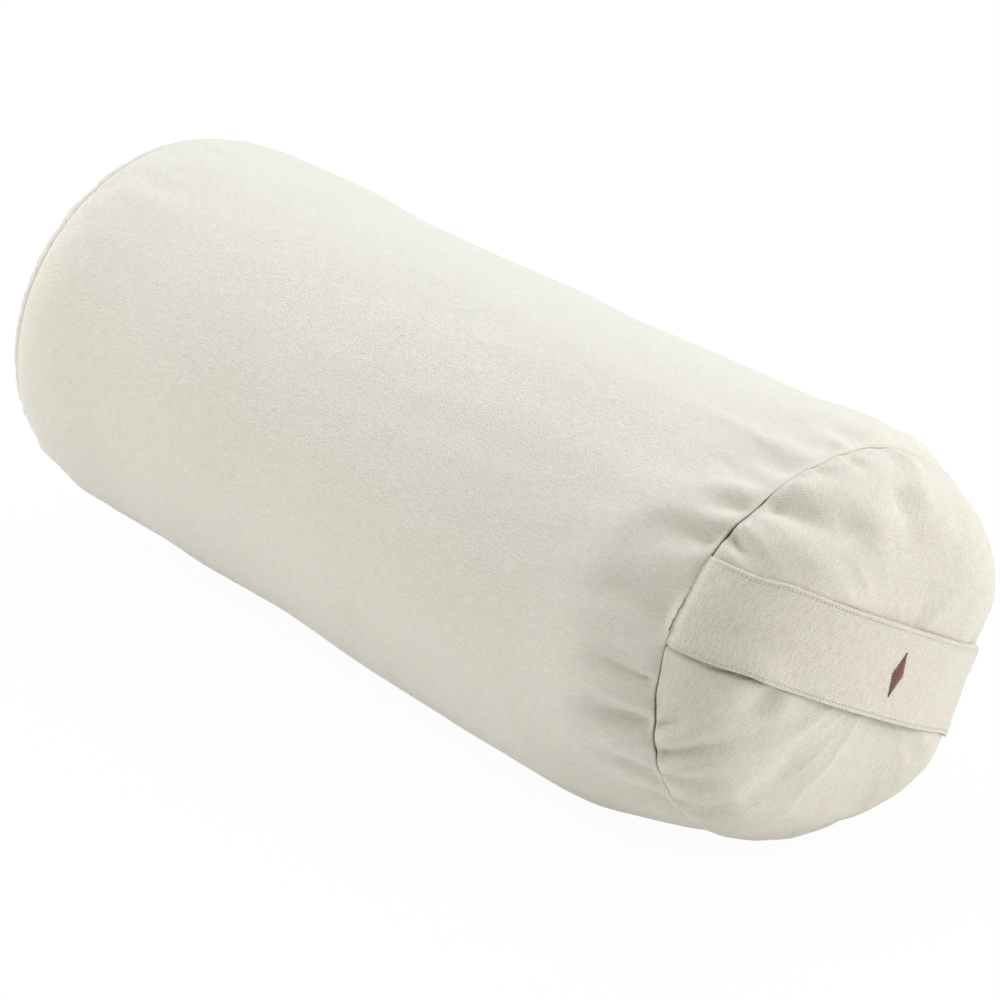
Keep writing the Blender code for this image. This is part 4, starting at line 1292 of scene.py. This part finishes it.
class BOLSTER_OT_strap(Operator):
    """Make the handle strap, with its folded edges and its topstitching"""

    bl_idname = "bolster.strap"
    bl_label = "Handle strap"

    def closed_faces(self, rows, columns, around):
        """Faces round the strap, and across its two ends."""
        faces = ring_faces(rows, around)
        for start, way in ((0, 1), ((rows - 1) * around, -1)):
            for j in range(columns - 1):
                a, b = start + j, start + j + 1
                c = start + (around - j - 1) % around if j + 1 < columns - 1 else b
                d = start + (around - j) % around
                faces.append(tuple(dict.fromkeys((a, b, c, d)))[::way])
        return faces

    def execute(self, context):
        form, feel, strap, stitching, colours = settings()
        made = shared_cover()
        path = StrapPath(form, strap)
        half = np.array(STRAP_COLUMNS) * strap.width / 2
        across = np.concatenate([-half[:0:-1], half])
        upper, lower, run, normal = path.walls(across)
        back = slice(-2, 0, -1)
        ring = np.concatenate([upper, lower[:, back]], axis=1)
        rows, around = ring.shape[:2]
        points = ring.reshape(-1, 3)
        outward = np.concatenate([normal, -normal[:, back]], axis=1).reshape(-1, 3)
        faces = self.closed_faces(rows, len(across), around)
        faces = oriented(points, [faces[(rows - 1) * around // 2]] + faces, outward)[1:]
        wide = np.concatenate([across, across[back]])
        long = np.concatenate([run, run[:, back]], axis=1)
        places = np.stack([long, np.broadcast_to(wide, long.shape)], axis=-1).reshape(-1, 2)
        # Painted shade where the strap's ends go into the seam, and faintly along its rows of
        # stitching
        near_seam = bump(np.minimum(long, long.max() - long), 0, 1.2 * MM)
        sewn = bump(np.abs(wide) / (strap.width / 2), 1 - 2 * strap.stitch_inset / strap.width, 0.025)
        canvas = canvas_material("cotton_canvas_strap", colours, feel, turn=0, grain_depth=1.35)
        piece = new_piece("handle_strap", points, faces, canvas,
                          [places[list(face)] for face in faces], np.maximum(near_seam, 0.08 * sewn))
        low, high = ((form.near_seam + past, 0, 0) for past in STRAP_BLEND)
        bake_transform(piece)
        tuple(low)
        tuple(high)
        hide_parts("handle_tab_front", "handle_grip", "handle_tab_back")

        inset = strap.width / 2 - strap.stitch_inset
        lines = path.walls(np.array([-inset, 0.0, inset]))[0]
        lines += (0.12 * MM, 0, 0)
        for piece in sewn_line("strap", [lines[3:-3, 0], lines[3:-3, 2]], made, stitching):
            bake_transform(piece)
            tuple(low)
            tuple(high)
        return {"FINISHED"}


class BOLSTER_OT_motif(Operator):
    """Embroider a plain lozenge in the middle of the strap"""

    bl_idname = "bolster.motif"
    bl_label = "Lozenge"

    def execute(self, context):
        form, _, strap, stitching, colours = settings()
        reach = stitching.motif_height / 2
        upper = StrapPath(form, strap).walls(np.linspace(-reach, reach, 30))[0]
        line = upper[len(STRAP_TURNS) // 2] + (0.1 * MM, 0, 0)
        thread = grained("brown_embroidery_thread", colours.motif, roughness=0.45, **TWIST)
        motif = grown("strap_lozenge", [line], thread_tree("Embroidered lozenge", satin=True),
                      stitching.motif_thread, stitching.motif_width, stitching.motif_thread * 1.15,
                      thread)
        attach(motif, "handle")
        return {"FINISHED"}


class BOLSTER_OT_zip(Operator):
    """Make the zip: tapes, teeth, stops, slider and pull, and the stitching round its opening"""

    bl_idname = "bolster.zip"
    bl_label = "Zip"

    def tape(self, name, way, low, high, material):
        """A strip of tape, thicker along the corded edge that carries the teeth."""
        form = settings()[0]
        origin, down, out = zip_frame(form)
        surface = -form.cloth - TAPE_DEPTH
        profile = [(low, 0.0), (low + 0.3 * MM, 0.12 * MM), (low + 0.9 * MM, 0.1 * MM),
                   (low + 1.5 * MM, 0.0), (high - 0.4 * MM, 0.0), (high, -0.15 * MM),
                   (high - 0.1 * MM, -0.4 * MM), (low + 1.5 * MM, -0.45 * MM),
                   (low + 0.4 * MM, -0.45 * MM), (low, -0.3 * MM)]
        rows = np.linspace(-TAPE_HALF_LENGTH, TAPE_HALF_LENGTH, TAPE_ROWS)
        points = np.array([origin + (x, 0, 0) + way * across * down + (surface + up) * out
                           for x in rows for across, up in profile])
        count = len(profile)
        faces = ring_faces(len(rows), count)
        faces.append(tuple(range(count))[::-1])
        faces.append(tuple(range((len(rows) - 1) * count, len(rows) * count)))
        piece = new_piece(name, points, faces, material)
        work = bmesh.new()
        work.from_mesh(piece.data)
        bmesh.ops.recalc_face_normals(work, faces=work.faces[:])
        work.to_mesh(piece.data)
        work.free()
        piece.data.set_sharp_from_angle(angle=math.radians(50))
        return piece

    def on_body(self, form, cover, x, down_from_zip):
        """Points on the finished body panel beside the zip."""
        origin, down, _ = zip_frame(form)
        places = origin + np.outer(down_from_zip, down)
        angle = np.arctan2(places[:, 1], (places[:, 2] - form.axis_height) / form.squash)
        row = np.interp(x, cover["rows"], np.arange(len(cover["rows"])))
        column = np.interp(angle, cover["angles"], np.arange(len(cover["angles"])))
        i, j = np.floor(row).astype(int), np.floor(column).astype(int)
        u, v = (row - i)[:, None], (column - j)[:, None]
        grid = cover["body"]
        return (grid[i, j] * (1 - u) * (1 - v) + grid[i + 1, j] * u * (1 - v)
                + grid[i, j + 1] * (1 - u) * v + grid[i + 1, j + 1] * u * v)

    def execute(self, context):
        form, _, _, stitching, colours = settings()
        made = shared_cover()
        woven = grained("polyester_zip_tape", colours.zip_tape, **TWILL)
        acetal = grained("moulded_acetal", colours.teeth, **WAXY)
        nickel = grained("satin_nickel_plate", colours.metal, **PLATED)
        pieces = []
        for word, way in (("upper", -1), ("lower", 1)):
            tape = self.tape(f"tape_{word}", way, *TAPE_EDGES, woven)
            pieces.append((tape, f"zip_tape_{word}", "bolster", "zip_tape"))
            teeth = softened(f"zip_chain_{word}", f"teeth_{word}", 0.18 * MM, acetal)
            pieces.append((teeth, f"zip_chain_{word}", "bolster", "zip_moulded"))
        for name, body, edge in (("top_stop_upper", "bolster", 0.2),
                                 ("top_stop_lower", "bolster", 0.2),
                                 ("bottom_stop", "bolster", 0.2), ("slider", "slider", 0.22),
                                 ("pull", "pull", 0.28)):
            fitting = softened(f"zip_{name}", name, edge * MM, nickel, segments=3)
            pieces.append((fitting, f"zip_{name}", body, "zip_metal"))
        for piece, node, body, slot in pieces:
            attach(piece, body)
            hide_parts(node)

        along, wide = ZIP_HALF_LENGTH + SEAM_PAST_ZIP, SEAM_BESIDE_ZIP
        corners = [(-along, -wide), (along, -wide), (along, wide), (-along, wide),
                   (-along, -wide)]
        paths = []
        for (x0, t0), (x1, t1) in zip(corners, corners[1:]):
            steps = max(int(math.hypot(x1 - x0, t1 - t0) / MM), 2)
            paths.append(self.on_body(form, made["cover"], np.linspace(x0, x1, steps),
                                      np.linspace(t0, t1, steps)))
        for piece in sewn_line("zip", paths, made, stitching):
            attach(piece, "bolster")
        return {"FINISHED"}


# Each lamp: name, place, size, power in watts and colour
LAMPS = (
    ("overhead_softbox", (-0.4, 1.0, 2.2), 1.6, 22.8, "#E2F0FF"),
    ("front_softbox", (-0.8, -0.9, 2.2), 1.2, 12.5, "#EAF3FF"),
    ("right_softbox", (2.3, 0.8, 1.1), 1.4, 27, "#FFFFFF"),
    ("back_softbox", (1.5, 2.0, 0.9), 1.4, 8, "#FFFFFF"),
    ("left_softbox", (-2.0, -1.6, 0.9), 1.4, 23, "#FFFFFF"),
)
WORLD_STRENGTH = 0.52
PAPER_GLOW = 0.96


class BOLSTER_OT_stage(Operator):
    """Set the white floor, the soft lights, the world and the camera"""

    bl_idname = "bolster.stage"
    bl_label = "Stage"

    def floor(self):
        """White paper that curves up into a wall, bright enough to stay white to the camera."""
        bend, radius = 2.2, 1.2
        rows = [(-6.0, 0.0), (bend, 0.0)]
        rows += [(bend + radius * math.sin(t), radius - radius * math.cos(t))
                 for t in np.linspace(0, math.pi / 2, 16)[1:]] + [(3.4, 5.0)]
        points = [(x, y, z) for y, z in rows for x in (-7.0, 7.0)]
        faces = [(2 * k, 2 * k + 1, 2 * k + 3, 2 * k + 2) for k in range(len(rows) - 1)]
        paper, tree, shader = new_material("white_paper", linear("#FAFAFA"), 0.9)
        ray = add_node(tree, "ShaderNodeLightPath").outputs["Is Camera Ray"]
        glow = add_node(tree, "ShaderNodeEmission", [("Strength", 1.0)]).outputs[0]
        share = maths(tree, "MULTIPLY", ray, PAPER_GLOW)
        both = add_node(tree, "ShaderNodeMixShader", [(0, share), (1, shader.outputs[0]),
                                                      (2, glow)])
        tree.links.new(both.outputs[0], tree.nodes["Material Output"].inputs["Surface"])
        return new_piece("paper_sweep", points, faces, paper)

    def dark_side(self):
        """The unlit side of the studio, behind the camera. No camera sees it."""
        aside, near, far = 4.2, Vector((2.2, -2.0, 0.35)), Vector((2.5, -2.3, 3.2))
        across = Vector((0.67, 0.74, 0)) * aside
        cloth = new_material("dark_drape", linear("#24221F"), 1.0)[0]
        corners = [near - across, near + across, far + across, far - across]
        drape = new_piece("dark_drape", corners, [(0, 1, 2, 3)], cloth)
        drape.visible_camera = False
        return drape

    def lamp(self, name, place, size, power, tint):
        """A square soft light, aimed at the bolster."""
        light = bpy.data.lights.new(name, "AREA")
        light.shape = "RECTANGLE"
        light.size = light.size_y = size
        light.energy = power
        light.color = linear(tint)
        item = linked(name, light)
        item.location = place
        aim = Vector((0, 0, 0.1)) - Vector(place)
        item.rotation_euler = aim.to_track_quat("-Z", "Y").to_euler()

    def world(self):
        """A dim white room, which the camera and clear reflections see at full white."""
        world = bpy.data.worlds.new("white_room")
        world.use_nodes = True
        tree = world.node_tree
        ground = tree.nodes["Background"]
        ground.inputs["Strength"].default_value = WORLD_STRENGTH
        ground.inputs["Color"].default_value = (1, 1, 1, 1)
        path = add_node(tree, "ShaderNodeLightPath").outputs
        clear = maths(tree, "MAXIMUM", path["Is Glossy Ray"], path["Is Transmission Ray"])
        seen = maths(tree, "MAXIMUM", path["Is Camera Ray"], clear)
        white = add_node(tree, "ShaderNodeBackground", [("Color", (1, 1, 1, 1)),
                                                        ("Strength", 1.0)]).outputs[0]
        both = add_node(tree, "ShaderNodeMixShader", [(0, seen), (1, ground.outputs[0]),
                                                      (2, white)]).outputs[0]
        tree.links.new(both, tree.nodes["World Output"].inputs["Surface"])
        return world

    def camera(self, scene):
        """The photograph's view."""
        azimuth, elevation, distance = math.radians(46.98), math.radians(28.68), 2.391
        back = Vector((math.sin(azimuth) * math.cos(elevation),
                       -math.cos(azimuth) * math.cos(elevation), math.sin(elevation)))
        data = bpy.data.cameras.new("camera")
        data.sensor_width = 36
        data.lens = 156.1
        data.shift_x = 0.0234
        data.shift_y = -0.0235
        camera = linked("camera", data)
        camera.location = Vector((0, 0, scene.bolster_form.axis_height)) + back * distance
        camera.rotation_euler = (-back).to_track_quat("-Z", "Y").to_euler()
        return camera

    def execute(self, context):
        scene = context.scene
        self.floor()
        scene.world = self.world()
        self.dark_side()
        for lamp in LAMPS:
            self.lamp(*lamp)
        scene.camera = self.camera(scene)
        scene.view_settings.view_transform = "Standard"
        return {"FINISHED"}


class BOLSTER_PT_pieces(Panel):
    """The bolster's pieces and their sizes."""

    bl_idname = "BOLSTER_PT_pieces"
    bl_label = "Yoga bolster"
    bl_space_type = "VIEW_3D"
    bl_region_type = "UI"
    bl_category = "Bolster"

    def draw(self, context):
        for operator in OPERATORS:
            self.layout.operator(operator.bl_idname)
        for key in GROUPS:
            group = getattr(context.scene, key)
            box = self.layout.box()
            for name in group.bl_rna.properties.keys():
                if name not in ("rna_type", "name"):
                    box.prop(group, name)


GROUPS = {"bolster_form": BolsterForm, "bolster_feel": ClothFeel, "bolster_strap": StrapForm,
          "bolster_stitching": Stitching, "bolster_colours": BolsterColours}
OPERATORS = (BOLSTER_OT_stage, BOLSTER_OT_body, BOLSTER_OT_ends, BOLSTER_OT_inside,
             BOLSTER_OT_strap, BOLSTER_OT_motif, BOLSTER_OT_zip)


def register():
    for kind in (*GROUPS.values(), *OPERATORS, BOLSTER_PT_pieces):
        bpy.utils.register_class(kind)
    for key, kind in GROUPS.items():
        setattr(bpy.types.Scene, key, PointerProperty(type=kind))


def unregister():
    for key in GROUPS:
        delattr(bpy.types.Scene, key)
    for kind in reversed((*GROUPS.values(), *OPERATORS, BOLSTER_PT_pieces)):
        bpy.utils.unregister_class(kind)


def main():
    register()
    bpy.ops.bolster.stage()
    bpy.ops.bolster.body()
    bpy.ops.bolster.ends()
    bpy.ops.bolster.inside()
    bpy.ops.bolster.strap()
    bpy.ops.bolster.motif()
    bpy.ops.bolster.zip()


if __name__ == "__main__":
    main()
